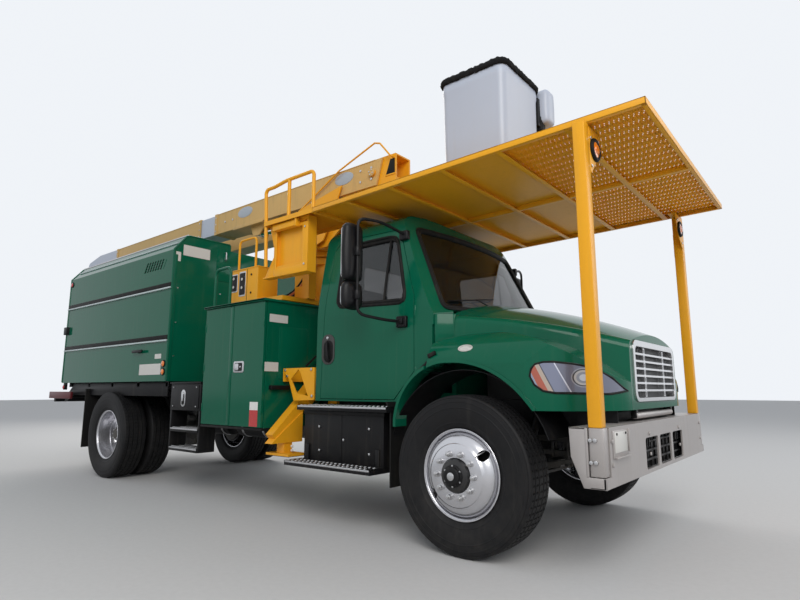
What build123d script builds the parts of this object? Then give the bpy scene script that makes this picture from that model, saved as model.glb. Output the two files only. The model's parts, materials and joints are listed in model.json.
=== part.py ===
from build123d import *
import math
import os

# A forestry bucket truck: a conventional cab, a two-part boom stowed over a chip box,
# and a work platform cage over the cab. All sizes are in millimetres.
# The shapes are drawn with X forward from the front axle, Y to the left and Z up from the ground.

# Overall
FRONT_END = 1320
REAR_END = -8250
ORIGIN_SHIFT = -(FRONT_END + REAR_END) / 2

# Chassis
WHEELBASE = 5220
AXLE_Z = 522
RAIL_HALF_WIDTH = 432
RAIL_TOP = 1000
RAIL_DEPTH = 255
RAIL_FLANGE = 80
RAIL_WALL = 8
RAIL_FRONT = 790
RAIL_REAR = -6650
HITCH_Z = 860
HITCH_THICKNESS = 20
HITCH_PITCH = (85.7, 44.5)
HITCH_HOLE_RADIUS = 6.75
SPRING_Y = 492
SPRING_RISE = 90
LEAF_THICKNESS = 14
SHAFT_REAR = (-WHEELBASE + 345, AXLE_Z)
SHAFT_FRONT = (-1250, 700)
SHAFT_RADIUS = 45
# Crossmembers: (x, lowest z, highest z)
CROSSMEMBERS = (
    (640, 750, 790),
    (-1500, 820, 990),
    (-2050, 820, 990),
    (-3150, 820, 990),
    (-4250, 820, 990),
    (-5850, 820, 990),
    (-6600, 760, 990),
)

# Gap round a turning pin
PIN_GAP = 0.06

# Wheels and tyres
TYRE_RADIUS = 522
TYRE_WIDTH = 279
RIM_RADIUS = 286
FLANGE_RADIUS = 298
RIM_WIDTH = 229
DISC_OUTSET = 168
DISC_FLAT_RADIUS = 195
DISC_BORE_RADIUS = 110
HAND_HOLE_ANGLES = (55, 235)
FRONT_WHEEL_Y = 1058
REAR_DISC_Y = 920
KINGPIN_Y = 880
KINGPIN_RADIUS = 20

# Cab
CAB_HALF_WIDTH = 1015
CAB_WALL = 40
CAB_BACK = -1600
CAB_FRONT = -330
CAB_FLOOR = 980
BELT_Z = 1760
ROOF_Z = 2565
DOOR_FRONT = -500
DOOR_REAR = -1540
FLOOR_TOP = 1050
TUNNEL_HALF_WIDTH = 470
COWL_Z = 1560
COWL_SIDE_X = -312
COWL_NOSE_X = -205
SCREEN_FOOT = -132
SCREEN_BOW = 155
SCREEN_LEAN = (-358, 715)
SCREEN_LOW = 1705
SCREEN_HIGH = 2415
REAR_LIGHT_Z = 2090

# Wheel arch
ARCH_REAR = -585
ARCH_FRONT = 515
ARCH_TOP = 1262
ARCH_LIP = 24
LIP_Y = (1005, 1138)
LIP_BOTTOM = 805

# Hood
HOOD_REAR = -302
HOOD_FRONT = 955
HOOD_LOWER = 946
HOOD_SKIN = 14
FENDER_Y = 1130

# Grille
GRILLE_Z = 1203
GRILLE_WIDTH = 1060
GRILLE_HEIGHT = 412
GRILLE_OPENING_WIDTH = 984
GRILLE_OPENING = 346
SLAT_COUNT = 6
STUD_Y = 245

# Bumper, posts and canopy
BUMPER_FRONT = 990
BUMPER_HALF_WIDTH = 1257
BUMPER_TOP = 867
BUMPER_BOTTOM = 540
POST_SIZE = 76
POST_X = 939
POST_Y = 1212
CANOPY_REAR = -1500
CANOPY_HALF_WIDTH = 1200
CANOPY_TOP = 2678
CANOPY_TILT = 1.2
CANOPY_FLANGE = 45
CANOPY_LENGTH = (FRONT_END - CANOPY_REAR) / math.cos(math.radians(CANOPY_TILT)) - 1
CANOPY_RIBS = (390, 870, 1370, 1840, 2330)
MESH_COLUMNS = 6
MESH_BAR = 16
RAIL_Z = 3036
RAIL_Y = -1178
PLATFORM_REAR = -2190
PLATFORM_INNER_Y = 680

# Chip box
BOX_FRONT = -3829
BOX_REAR = -6787
BOX_HALF_WIDTH = 1217
BOX_BOTTOM = 1228
BOX_SHOULDER = 2678
BOX_ROOF = 2870
BOX_RECESS = 2790
BOX_RECESS_Y = 475
BOX_WALL = 30
BED_PIVOT = (-6550, 1075)
BED_PIN_RADIUS = 18
BED_EYE_Y = (360, 430)

# Tool boxes
TOOL_REAR = -3076
TOOL_FRONT = -2087
TOOL_BOTTOM = 731
TOOL_TOP = 1895
TOOL_OUTER_Y = 1220
TOOL_INNER_Y = 520
DOOR_LEAF = 25
CLEARANCE = 5

# Boom
TURN_X = -2550
TURN_Z = 2525
PIVOT = (-1450, 3225)
ELBOW = (-7600, 3225)
BUCKET_PIVOT = (-285, 3225)
LOWER_Y = (-450, -170)
UPPER_Y = (250, 510)
BOOM_HALF_DEPTH = 135
UPPER_HALF_DEPTH = 118
INSERT_X = (-4630, -4230)
COVER_X = -7140
CYLINDER_BASE = (-1900, 2900)
CYLINDER_EYE = (-3450, 3000)
CYLINDER_Y = -310
BARREL_RADIUS = 58
ROD_RADIUS = 35
BARREL_LENGTH = 1150
PIVOT_PIN_RADIUS = 38
ELBOW_PIN_RADIUS = 40
BUCKET_PIN_RADIUS = 30
BASE_PIN_RADIUS = 26
CHEEK_Y = ((-425, -405), (-215, -195))
WING_Y = (-482, -466)
CLEVIS_X = -1900
CLEVIS_SIDE = 20

# Bucket
BUCKET_X = (-615, 45)
BUCKET_Y = (-460, 230)
BUCKET_Z = (2900, 3900)
BUCKET_WALL = 25

# Outriggers: the leg slides outwards and down
LEG_X = -1950
LEG_TOP = (250, 1545)
LEG_TOE = (1200, 650)
LEG_SIZE = 96
HOUSING_SIZE = 130
LEG_LENGTH = math.hypot(LEG_TOE[0] - LEG_TOP[0], LEG_TOE[1] - LEG_TOP[1])
SLEEVE_LENGTH = 826
YOKE_X = (-2065, -1633)
YOKE_Y = (990, 1004)
YOKE_TOP = 1272


def block(x, y, z):
    """A box from its spans along X, Y and Z."""
    size = Box(x[1] - x[0], y[1] - y[0], z[1] - z[0])
    return Pos((x[0] + x[1]) / 2, (y[0] + y[1]) / 2, (z[0] + z[1]) / 2) * size


def along_x(face, x0, x1):
    """Extrude a face drawn in (Y, Z) between two X stations."""
    return Pos(x0, 0, 0) * extrude(Plane.YZ * face, amount=x1 - x0, dir=(1, 0, 0))


def along_y(face, y0, y1):
    """Extrude a face drawn in (X, Z) between two Y stations."""
    return Pos(0, y0, 0) * extrude(Plane.XZ * face, amount=y1 - y0, dir=(0, 1, 0))


def along_z(face, z0, z1):
    """Extrude a face drawn in (X, Y) between two heights."""
    return Pos(0, 0, z0) * extrude(face, amount=z1 - z0, dir=(0, 0, 1))


def shape(*points):
    """A straight-sided face through the given points."""
    return Polygon(*points, align=None)


def round_y(radius, x, y, z):
    """A cylinder along Y."""
    return along_y(Pos(x, z) * Circle(radius), y[0], y[1])


def round_x(radius, x, y, z):
    """A cylinder along X."""
    return along_x(Pos(y, z) * Circle(radius), x[0], x[1])


def round_z(radius, x, y, z):
    """A cylinder along Z."""
    return along_z(Pos(x, y) * Circle(radius), z[0], z[1])


def other_side(part):
    """The same piece on the other side of the truck."""
    return mirror(part, about=Plane.XZ)


def both_sides(part):
    return part + other_side(part)


def tube(points, radius, bend):
    """A round tube along straight runs with bends."""
    path = FilletPolyline(*points, radius=bend)
    start = Plane(origin=path @ 0, z_dir=path % 0)
    return sweep(start * Circle(radius), path=path)


def turned(profile, y):
    """Revolve a face drawn in (distance outboard, radius) about an axle, outboard towards +Y."""
    plane = Plane(origin=(0, y, 0), x_dir=(0, 1, 0), z_dir=(1, 0, 0))
    return revolve(plane * profile, axis=Axis((0, y, 0), (0, 1, 0)))


# Chassis

def frame_rails():
    web = block((RAIL_REAR, RAIL_FRONT), (RAIL_HALF_WIDTH - RAIL_WALL, RAIL_HALF_WIDTH),
                (RAIL_TOP - RAIL_DEPTH, RAIL_TOP))
    flange = block((RAIL_REAR, RAIL_FRONT), (RAIL_HALF_WIDTH - RAIL_FLANGE, RAIL_HALF_WIDTH),
                   (RAIL_TOP - RAIL_WALL, RAIL_TOP))
    lower_flange = Pos(0, 0, RAIL_WALL - RAIL_DEPTH) * flange
    frame = both_sides(web + flange + lower_flange)
    for x, low, high in CROSSMEMBERS:
        frame += block((x - 35, x + 35), (-RAIL_HALF_WIDTH + 4, RAIL_HALF_WIDTH - 4), (low, high))
    return frame + hitch_plate() + both_sides(bed_hinge())


def hitch_plate():
    plate = block((RAIL_REAR - HITCH_THICKNESS, RAIL_REAR), (-RAIL_HALF_WIDTH, RAIL_HALF_WIDTH),
                  (RAIL_TOP - RAIL_DEPTH, RAIL_TOP))
    for y in (-HITCH_PITCH[0] / 2, HITCH_PITCH[0] / 2):
        for dz in (-HITCH_PITCH[1] / 2, HITCH_PITCH[1] / 2):
            plate -= round_x(HITCH_HOLE_RADIUS, (RAIL_REAR - 70, RAIL_REAR + 5), y, HITCH_Z + dz)
    bore_room = block((RAIL_REAR, RAIL_REAR + 5), (-70, 70), (HITCH_Z - 50, HITCH_Z + 50))
    return plate - bore_room


def leaf_spring(x, z, half_length, leaves, y):
    """A pack of curved leaves that sits on its axle's pad at height z and curves up to its ends."""
    rise = SPRING_RISE
    thick = LEAF_THICKNESS
    pack = None
    for index in range(leaves):
        reach = half_length * (1 - 0.17 * index)
        lift = rise * (reach / half_length) ** 2
        top = z + (leaves - index) * thick
        upper = ThreePointArc((x - reach, top + lift), (x, top), (x + reach, top + lift))
        lower = ThreePointArc((x - reach, top + lift - thick), (x, top - thick),
                              (x + reach, top + lift - thick))
        ends = [Line(upper @ 0, lower @ 0), Line(upper @ 1, lower @ 1)]
        leaf = along_y(make_face([upper, lower] + ends), y - 38, y + 38)
        pack = leaf if pack is None else pack + leaf
    for end in (-1, 1):
        eye_z = z + leaves * thick + rise - 6
        pack += round_y(26, x + end * half_length, (y - 38, y + 38), eye_z)
        hanger = shape((x + end * half_length - 55, RAIL_TOP - RAIL_DEPTH + 60),
                       (x + end * half_length + 55, RAIL_TOP - RAIL_DEPTH + 60),
                       (x + end * half_length + 24, eye_z - 10), (x + end * half_length - 24, eye_z - 10))
        pack += along_y(hanger, RAIL_HALF_WIDTH, RAIL_HALF_WIDTH + 12)
        pack += along_y(hanger, RAIL_HALF_WIDTH + 12, y + 38) & round_y(
            30, x + end * half_length, (RAIL_HALF_WIDTH + 12, y + 38), eye_z)
    return pack


def front_axle():
    beam = shape((-870, 585), (-760, 570), (-560, 480), (560, 480), (760, 570), (870, 585),
                 (870, 500), (740, 480), (540, 395), (-540, 395), (-740, 480), (-870, 500))
    axle = along_x(beam, -55, 55)
    web = shape((-745, 545), (-550, 458), (550, 458), (745, 545), (735, 500), (535, 417), (-535, 417),
                (-735, 500))
    axle -= along_x(web, 22, 60)
    axle -= along_x(web, -60, -22)
    for side in (-1, 1):
        axle += round_z(48, 0, side * KINGPIN_Y, (484, 596))
        axle += round_z(KINGPIN_RADIUS, 0, side * KINGPIN_Y, (438, 642))
        axle += block((-60, 60), (side * SPRING_Y - 45, side * SPRING_Y + 45), (470, 500))
    spring = leaf_spring(0, 500, 640, 3, SPRING_Y)
    return axle + both_sides(spring)


def rear_axle():
    x = -WHEELBASE
    axle = round_y(68, x, (-600, 600), AXLE_Z)
    axle += round_y(45, x, (-1060, 1060), AXLE_Z)
    axle += Pos(x, 0, AXLE_Z) * Rot(90, 0, 0) * Cylinder(215, 170)
    axle += along_x(Pos(0, AXLE_Z) * Circle(150), x, x + 330)
    axle += both_sides(leaf_spring(x, AXLE_Z + 66, 720, 4, SPRING_Y))
    axle += both_sides(round_y(185, x, (596, 606), AXLE_Z))
    return axle


def drive_shaft():
    run = math.hypot(SHAFT_FRONT[0] - SHAFT_REAR[0], SHAFT_FRONT[1] - SHAFT_REAR[1])
    slope = math.degrees(math.atan2(SHAFT_FRONT[1] - SHAFT_REAR[1], SHAFT_FRONT[0] - SHAFT_REAR[0]))
    shaft = extrude(Plane.YZ * Circle(SHAFT_RADIUS), amount=run)
    return Pos(SHAFT_REAR[0], 0, SHAFT_REAR[1]) * Rot(0, -slope, 0) * shaft


def engine():
    block_part = block((-290, 600), (-290, 290), (690, 1430))
    gearbox = round_x(190, (-1230, -290), 0, 760)
    return block_part + gearbox


def radiator():
    core = block((690, 760), (-400, 400), (1010, 1330))
    return core + block((690, 760), (-340, 340), (790, 1010))


def fuel_tank():
    tank = round_x(270, (-1640, -720), 830, 640)
    straps = round_x(276, (-1420, -1360), 830, 640) + round_x(276, (-1000, -940), 830, 640)
    bracket = block((-1420, -1360), (RAIL_HALF_WIDTH, 600), (700, 780))
    return tank + straps + bracket + Pos(420, 0, 0) * bracket


# Wheels

def tyre(y):
    """A tyre about the axle line, its middle plane at y."""
    half = TYRE_WIDTH / 2
    bead = RIM_WIDTH / 2 - 12
    seat = RIM_RADIUS + 1
    outer = [(bead - 8, seat), (bead, FLANGE_RADIUS + 2), (half, 395), (half - 4, TYRE_RADIUS - 30),
             (half - 11, TYRE_RADIUS - 9), (half - 26, TYRE_RADIUS)]
    inner = [(-w, r) for w, r in reversed(outer)]
    return turned(shape(*(outer + inner)), y)


def rim(y, outboard):
    """A steel rim whose disc bulges towards +Y for outboard 1 or -Y for -1."""
    half = RIM_WIDTH / 2
    steel = 10
    slope = 14
    barrel = shape((half, FLANGE_RADIUS), (half - slope, RIM_RADIUS), (slope - half, RIM_RADIUS),
                   (-half, FLANGE_RADIUS), (-half, FLANGE_RADIUS - steel), (slope - half, RIM_RADIUS - steel),
                   (half - slope, RIM_RADIUS - steel), (half, FLANGE_RADIUS - steel))
    face = DISC_OUTSET
    back = DISC_OUTSET - 12
    weld = RIM_RADIUS - 4
    disc = shape((50, weld), (66, weld), (118, 268), (152, 236), (face, DISC_FLAT_RADIUS),
                 (face, DISC_BORE_RADIUS), (back, DISC_BORE_RADIUS), (back, DISC_FLAT_RADIUS - 6), (140, 228))
    wheel = turned(barrel, 0) + turned(disc, 0)
    for angle in HAND_HOLE_ANGLES:
        wheel -= Rot(0, angle, 0) * round_y(34, 232, (0, 300), 0)
    if outboard < 0:
        wheel = other_side(wheel)
    return Pos(0, y, 0) * wheel


def front_hub():
    """Hub, flange and brake drum of a steered wheel, bored for its spindle."""
    y = FRONT_WHEEL_Y
    profile = shape((-52, 36), (-52, 80), (30, 85), (30, 190), (-60, 192), (-60, 208), (48, 208), (48, 90),
                    (142, 90), (142, 166), (DISC_OUTSET - 12, 166), (DISC_OUTSET - 12, 108),
                    (192, 104), (204, 70), (228, 64), (228, 0), (160, 0), (160, 36))
    return turned(profile, y)


def rear_hub():
    """Hub, flange and drum between the twin rear wheels, bored for the axle's spindle."""
    profile = shape((620, 46), (620, 90), (760, 96), (760, 192), (612, 194), (612, 208), (776, 208),
                    (776, 100), (884, 100), (884, 166), (REAR_DISC_Y - 12, 166), (REAR_DISC_Y - 12, 108),
                    (1010, 100), (1020, 84), (1095, 84), (1110, 70), (1110, 0), (1070, 0), (1070, 46))
    return turned(profile, 0)


def at_axle(part, x):
    return Pos(x, 0, AXLE_Z) * part


def front_tyre():
    return at_axle(tyre(FRONT_WHEEL_Y), 0)


def front_wheel():
    return at_axle(rim(FRONT_WHEEL_Y, 1) + front_hub(), 0)


def rear_tyres():
    pair = tyre(REAR_DISC_Y + DISC_OUTSET) + tyre(REAR_DISC_Y - DISC_OUTSET)
    return at_axle(pair, -WHEELBASE)


def rear_wheels():
    outer = rim(REAR_DISC_Y + DISC_OUTSET, -1)
    inner = rim(REAR_DISC_Y - DISC_OUTSET, 1)
    return at_axle(outer + inner + rear_hub(), -WHEELBASE)


def knuckle():
    """The left steering knuckle: two ears about the kingpin, the spindle and the brake's backing plate."""
    eye_gap = 4
    y = KINGPIN_Y
    low_ear = (432, 484 - eye_gap)
    high_ear = (596 + eye_gap, 648)
    part = None
    for low, high in (low_ear, high_ear):
        ear = round_z(46, 0, y, (low, high)) + block((-46, 46), (y, y + 78), (low, high))
        part = ear if part is None else part + ear
    part -= round_z(KINGPIN_RADIUS + 0.05, 0, y, (400, 700))
    part += block((-60, 60), (y + 60, y + 92), (430, 650))
    part += round_y(180, 0, (y + 92, y + 106), AXLE_Z)
    part += round_y(35, 0, (y + 100, FRONT_WHEEL_Y + 155), AXLE_Z)
    arm = shape((-40, y + 60), (-40, y + 95), (-230, y - 20), (-230, y - 60))
    return part + along_z(arm, 436, 462)


# Cab

def cowl_plan(gap):
    """The bowed line in plan where the hood ends and the cab's cowl begins."""
    side = COWL_SIDE_X - gap
    nose = COWL_NOSE_X - gap
    return make_face([
        ThreePointArc((side, -CAB_HALF_WIDTH), (nose, 0), (side, CAB_HALF_WIDTH)),
        Line((side, CAB_HALF_WIDTH), (side, 1300)),
        Line((side, 1300), (-3000, 1300)),
        Line((-3000, 1300), (-3000, -1300)),
        Line((-3000, -1300), (side, -1300)),
        Line((side, -1300), (side, -CAB_HALF_WIDTH)),
    ])


def cab_form(inset):
    """The cab's outer shape, drawn in by an inset so that the same function gives the inside."""
    w = CAB_HALF_WIDTH - inset
    low = CAB_FLOOR + inset
    back = CAB_BACK + inset
    top = ROOF_Z - inset
    side = make_face([
        Line((back, low), (CAB_FRONT - inset, low)),
        Line((CAB_FRONT - inset, low), (CAB_FRONT - inset, COWL_Z + inset)),
        Line((CAB_FRONT - inset, COWL_Z + inset), (SCREEN_FOOT - inset, COWL_Z + inset)),
        Line((SCREEN_FOOT - inset, COWL_Z + inset), (-590 - inset, top - 75)),
        ThreePointArc((-590 - inset, top - 75), (-660 - inset, top - 22), (-760 - inset, top - 6)),
        ThreePointArc((-760 - inset, top - 6), (-1150, top), (back + 160, top - 20)),
        ThreePointArc((back + 160, top - 20), (back + 55, top - 50), (back + 10, top - 140)),
        Line((back + 10, top - 140), (back, low)),
    ])
    front = make_face([
        Line((-w, low), (w, low)),
        Line((w, low), (w, BELT_Z - 60)),
        ThreePointArc((w, BELT_Z - 60), (w - 8, BELT_Z + 60), (w - 25, BELT_Z + 180)),
        Line((w - 25, BELT_Z + 180), (w - 110, top - 150)),
        ThreePointArc((w - 110, top - 150), (w - 165, top - 60), (w - 290, top - 20)),
        ThreePointArc((w - 290, top - 20), (0, top), (290 - w, top - 20)),
        ThreePointArc((290 - w, top - 20), (165 - w, top - 60), (110 - w, top - 150)),
        Line((110 - w, top - 150), (25 - w, BELT_Z + 180)),
        ThreePointArc((25 - w, BELT_Z + 180), (8 - w, BELT_Z + 60), (-w, BELT_Z - 60)),
        Line((-w, BELT_Z - 60), (-w, low)),
    ])
    body = along_y(side, -1100, 1100) & along_x(front, -1700, 100)
    return body & windshield_sweep(inset) & along_z(cowl_plan(8 + inset), 900, 3000)


def windshield_sweep(inset):
    """The curved screen: a bowed plan outline swept along the screen's lean."""
    front = -232 - inset
    side = front - SCREEN_BOW
    outline = make_face([
        Line((-4000, -1400), (side, -1400)),
        Line((side, -1400), (side, -CAB_HALF_WIDTH - 30)),
        ThreePointArc((side, -CAB_HALF_WIDTH - 30), (front, 0), (side, CAB_HALF_WIDTH + 30)),
        Line((side, CAB_HALF_WIDTH + 30), (side, 1400)),
        Line((side, 1400), (-4000, 1400)),
        Line((-4000, 1400), (-4000, -1400)),
    ])
    lean = Vector(SCREEN_LEAN[0], 0, SCREEN_LEAN[1])
    start = -1.3
    reach = 2.8
    low = Pos(lean.X * start, 0, BELT_Z + lean.Z * start) * outline
    return extrude(low, amount=lean.length * reach, dir=lean.normalized())


def door_outline(grow):
    """The door's edge in (X, Z), with its lower front corner cut back for the wheel arch."""
    g = grow
    return shape((DOOR_REAR - g, CAB_FLOOR + 15 - g), (-700 + g, CAB_FLOOR + 15 - g), (DOOR_FRONT + g, 1215),
                 (DOOR_FRONT + g, 1800), (-702 + g, 2360 + g), (-760 + g, 2400 + g), (-1400 - g, 2412 + g),
                 (-1480 - g, 2330 + g))


def side_window(grow):
    g = grow
    outline = shape((-1345 - g, 1790 - g), (-615 + g, 1760 - g), (-600 + g, 1830), (-735 + g, 2300 + g),
                    (-790 + g, 2340 + g), (-1300 - g, 2345 + g), (-1345 - g, 2300 + g))
    return outline


def arch_face(grow):
    """The wheel arch's opening in (X, Z): steep behind the tyre and round above it."""
    g = grow
    slant = 0.7 * g
    top = ARCH_TOP + g
    foot = 940 + slant
    return make_face([
        Line((ARCH_REAR - g, 300), (ARCH_REAR - g, 860)),
        ThreePointArc((ARCH_REAR - g, 860), (-430 - slant, 1150 + slant), (-100, top)),
        ThreePointArc((-100, top), (230 + 0.4 * g, 1187 + 0.9 * g), (ARCH_FRONT + slant, foot)),
        Line((ARCH_FRONT + slant, foot), (ARCH_FRONT + slant, 300)),
        Line((ARCH_FRONT + slant, 300), (ARCH_REAR - g, 300)),
    ])


def arch_lip(x0, x1, low):
    """The left arch's rolled edge between two X stations, above a height."""
    ring = along_y(arch_face(ARCH_LIP) - arch_face(0), LIP_Y[0], LIP_Y[1])
    return ring & block((x0, x1), (900, 1200), (low, 1400))


def cab_shell():
    room = cab_form(CAB_WALL) & block((-1700, 200), (-1200, 1200), (FLOOR_TOP, 3000))
    shell = cab_form(0) - room
    shell -= block((-1700, 0), (-TUNNEL_HALF_WIDTH, TUNNEL_HALF_WIDTH), (900, FLOOR_TOP - CAB_WALL))
    shell -= along_y(door_outline(0), -1200, 1200)
    shell -= both_sides(along_y(arch_face(ARCH_LIP / 2), 700, 1200))
    shell -= windshield_opening()
    rear_light = fillet(Rectangle(900, 380).vertices(), 60)
    shell -= along_x(Pos(0, REAR_LIGHT_Z) * rear_light, -1700, -1400)
    return shell + both_sides(arch_lip(-700, COWL_SIDE_X - 8, LIP_BOTTOM))


def windshield_face(grow):
    """The screen's opening seen from the front, in (Y, Z)."""
    g = grow
    return fillet(shape((-885 - g, SCREEN_LOW - g), (885 + g, SCREEN_LOW - g), (785 + g, SCREEN_HIGH + g),
                        (-785 - g, SCREEN_HIGH + g)).vertices(), 45)


def windshield_opening():
    return along_x(windshield_face(0), -800, 0)


def cab_glass():
    screen = (cab_form(14) - cab_form(20)) & along_x(windshield_face(-1), -800, 0)
    rear = along_x(Pos(0, REAR_LIGHT_Z) * fillet(Rectangle(898, 378).vertices(), 60), -1585, -1579)
    return screen + rear


def cab_interior():
    """Bench and driver's seat, the dash, and the wheel on its column."""
    parts = None
    for y in (-480, 480):
        cushion = block((-1380, -900), (y - 250, y + 250), (1230, 1400))
        back = along_y(shape((-1470, 1230), (-1380, 1230), (-1340, 1400), (-1420, 2010), (-1500, 2010)),
                       y - 240, y + 240)
        stand = block((-1330, -960), (y - 180, y + 180), (CAB_FLOOR + CAB_WALL, 1230))
        seat = cushion + back + stand
        parts = seat if parts is None else parts + seat
    dash = along_y(shape((-500, 1300), (-640, 1300), (-700, 1500), (-680, 1700), (-560, 1745), (-500, 1745)),
                   -820, 820)
    column = Pos(-700, 480, 1560) * Rot(0, -60, 0) * Cylinder(30, 260)
    wheel = Pos(-790, 480, 1612) * Rot(0, -60, 0) * Torus(225, 16)
    spoke = Pos(-790, 480, 1612) * Rot(0, -60, 0) * Box(40, 440, 16)
    return parts + dash + column + wheel + spoke


def cab_door():
    """The left door: its own skin cut from the cab's wall, with the window's opening."""
    wall = cab_form(0) - cab_form(CAB_WALL + 12)
    leaf = wall & along_y(door_outline(-CLEARANCE), 840, 1200)
    leaf -= along_y(arch_face(ARCH_LIP + 2 * CLEARANCE), 700, 1200)
    leaf -= along_y(side_window(0), 700, 1200)
    return leaf


def door_glass():
    wall = cab_form(20) - cab_form(26)
    return wall & along_y(side_window(-1), 700, 1200)


def mirror_arm():
    """The left mirrors: two heads on a bent tube from the top and foot of the door's front frame."""
    arm = tube([(-650, 940, 2330), (-760, 1180, 2385), (-820, 1375, 2385), (-820, 1375, 1640),
                (-640, 1180, 1600), (-600, 1040, 1600)], 12, 60)
    heads = None
    for low, high in ((1905, 2345), (1690, 1885)):
        head = block((-870, -770), (1275, 1475), (low, high))
        head = fillet(head.edges().filter_by(Axis.Z), 28)
        heads = head if heads is None else heads + head
    foot = block((-640, -560), (1016, 1042), (1565, 1635))
    return arm + heads + foot


# Hood

def hood_section(x, half_low, half_shoulder, z_shoulder, z_crown, inset):
    low = 900
    hl = half_low - inset
    hs = half_shoulder - inset
    zs = z_shoulder - inset
    zc = z_crown - inset
    edge = 55
    face = make_face([
        Line((-hl, low), (hl, low)),
        Line((hl, low), (hs, zs - edge)),
        ThreePointArc((hs, zs - edge), (hs - edge * 0.35, zs - edge * 0.3), (hs - edge * 1.2, zs)),
        ThreePointArc((hs - edge * 1.2, zs), (0, zc), (edge * 1.2 - hs, zs)),
        ThreePointArc((edge * 1.2 - hs, zs), (edge * 0.35 - hs, zs - edge * 0.3), (-hs, zs - edge)),
        Line((-hs, zs - edge), (-hl, low)),
    ])
    return Plane(origin=(x, 0, 0), x_dir=(0, 1, 0), z_dir=(1, 0, 0)) * face


def hood_centre(inset):
    """The bonnet between its cowl, middle and nose sections."""
    sections = [
        hood_section(HOOD_REAR, 985, 935, 1640, 1808, inset),
        hood_section(330, 860, 790, 1560, 1683, inset),
        hood_section(HOOD_FRONT - inset, 600, 585, 1405, 1470, inset),
    ]
    return loft(sections)


def fender_form(inset):
    """Both fenders: a domed side profile, swept in at the nose in plan."""
    i = inset
    side = make_face([
        Line((HOOD_REAR, 900), (HOOD_FRONT - i, 900)),
        Line((HOOD_FRONT - i, 900), (HOOD_FRONT - i, 1125 - i)),
        ThreePointArc((HOOD_FRONT - i, 1125 - i), (600, 1368 - i), (60, 1474 - i)),
        ThreePointArc((60, 1474 - i), (-130, 1460 - i), (HOOD_REAR, 1415 - i)),
        Line((HOOD_REAR, 1415 - i), (HOOD_REAR, 900)),
    ])
    half = FENDER_Y - i
    section = make_face([
        Line((-half, 880), (half, 880)),
        Line((half, 880), (half, 1150)),
        ThreePointArc((half, 1150), (half - 62, 1385 - i), (half - 330, 1490)),
        Line((half - 330, 1490), (330 - half, 1490)),
        ThreePointArc((330 - half, 1490), (62 - half, 1385 - i), (-half, 1150)),
        Line((-half, 1150), (-half, 880)),
    ])
    plan = make_face([
        Line((HOOD_REAR, -half), (HOOD_REAR, half)),
        Line((HOOD_REAR, half), (470, half)),
        ThreePointArc((470, half), (800, 960 - i), (HOOD_FRONT - i, 570 - i)),
        Line((HOOD_FRONT - i, 570 - i), (HOOD_FRONT - i, i - 570)),
        ThreePointArc((HOOD_FRONT - i, i - 570), (800, i - 960), (470, -half)),
        Line((470, -half), (HOOD_REAR, -half)),
    ])
    return along_y(side, -half, half) & along_x(section, HOOD_REAR, HOOD_FRONT) & along_z(plan, 880, 1520)


def hood():
    outside = hood_centre(0) + fender_form(0)
    inside = hood_centre(HOOD_SKIN) + fender_form(HOOD_SKIN)
    shell = outside - inside
    shell -= block((-1000, 1200), (-1200, 1200), (0, HOOD_LOWER))
    shell -= along_z(cowl_plan(0), 900, 2000)
    shell -= both_sides(along_y(arch_face(0), 700, 1200))
    nose = Pos(0, GRILLE_Z) * Rectangle(GRILLE_WIDTH + 6, GRILLE_HEIGHT + 6)
    shell -= along_x(fillet(nose.vertices(), 70), 850, 1000)
    return shell + both_sides(arch_lip(HOOD_REAR + 4, ARCH_FRONT + 60, HOOD_LOWER) & fender_form(-8))


def grille():
    """A rounded frame with slats across it and open square studs in two columns."""
    x = HOOD_FRONT
    outer = fillet((Pos(0, GRILLE_Z) * Rectangle(GRILLE_WIDTH, GRILLE_HEIGHT)).vertices(), 68)
    inner = Pos(0, GRILLE_Z - 8) * Rectangle(GRILLE_OPENING_WIDTH, GRILLE_OPENING)
    inner = fillet(inner.vertices(), 44)
    part = along_x(outer - inner, x - 40, x + 10)
    part += along_x(outer, x - 46, x - 40)
    reach = GRILLE_OPENING_WIDTH / 2 + 4
    pitch = GRILLE_OPENING / (SLAT_COUNT + 1)
    lowest = GRILLE_Z - 8 - GRILLE_OPENING / 2
    for row in range(1, SLAT_COUNT + 1):
        z = lowest + row * pitch
        part += block((x - 24, x + 2), (-reach, reach), (z - 7, z + 7))
    stud = Rectangle(34, 40) - Rectangle(18, 24)
    for y in (-STUD_Y, STUD_Y):
        for row in range(SLAT_COUNT + 1):
            low = lowest + row * pitch
            part += along_x(Pos(y, low + pitch / 2) * stud, x - 41, x - 3)
            part += block((x - 30, x - 12), (y - 3, y + 3), (low, low + pitch))
    return part


def headlamps():
    """Teardrop lamps that fill the fender's front corners."""
    outline = make_face([
        ThreePointArc((512, 1165), (535, 1222), (640, 1240)),
        ThreePointArc((640, 1240), (835, 1205), (945, 1072)),
        ThreePointArc((945, 1072), (900, 1058), (830, 1060)),
        Line((830, 1060), (650, 1064)),
        ThreePointArc((650, 1064), (555, 1088), (512, 1165)),
    ])
    skin = fender_form(-8) - fender_form(0)
    return both_sides(skin & along_y(outline, 600, 1200))


# Bumper and canopy

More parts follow.
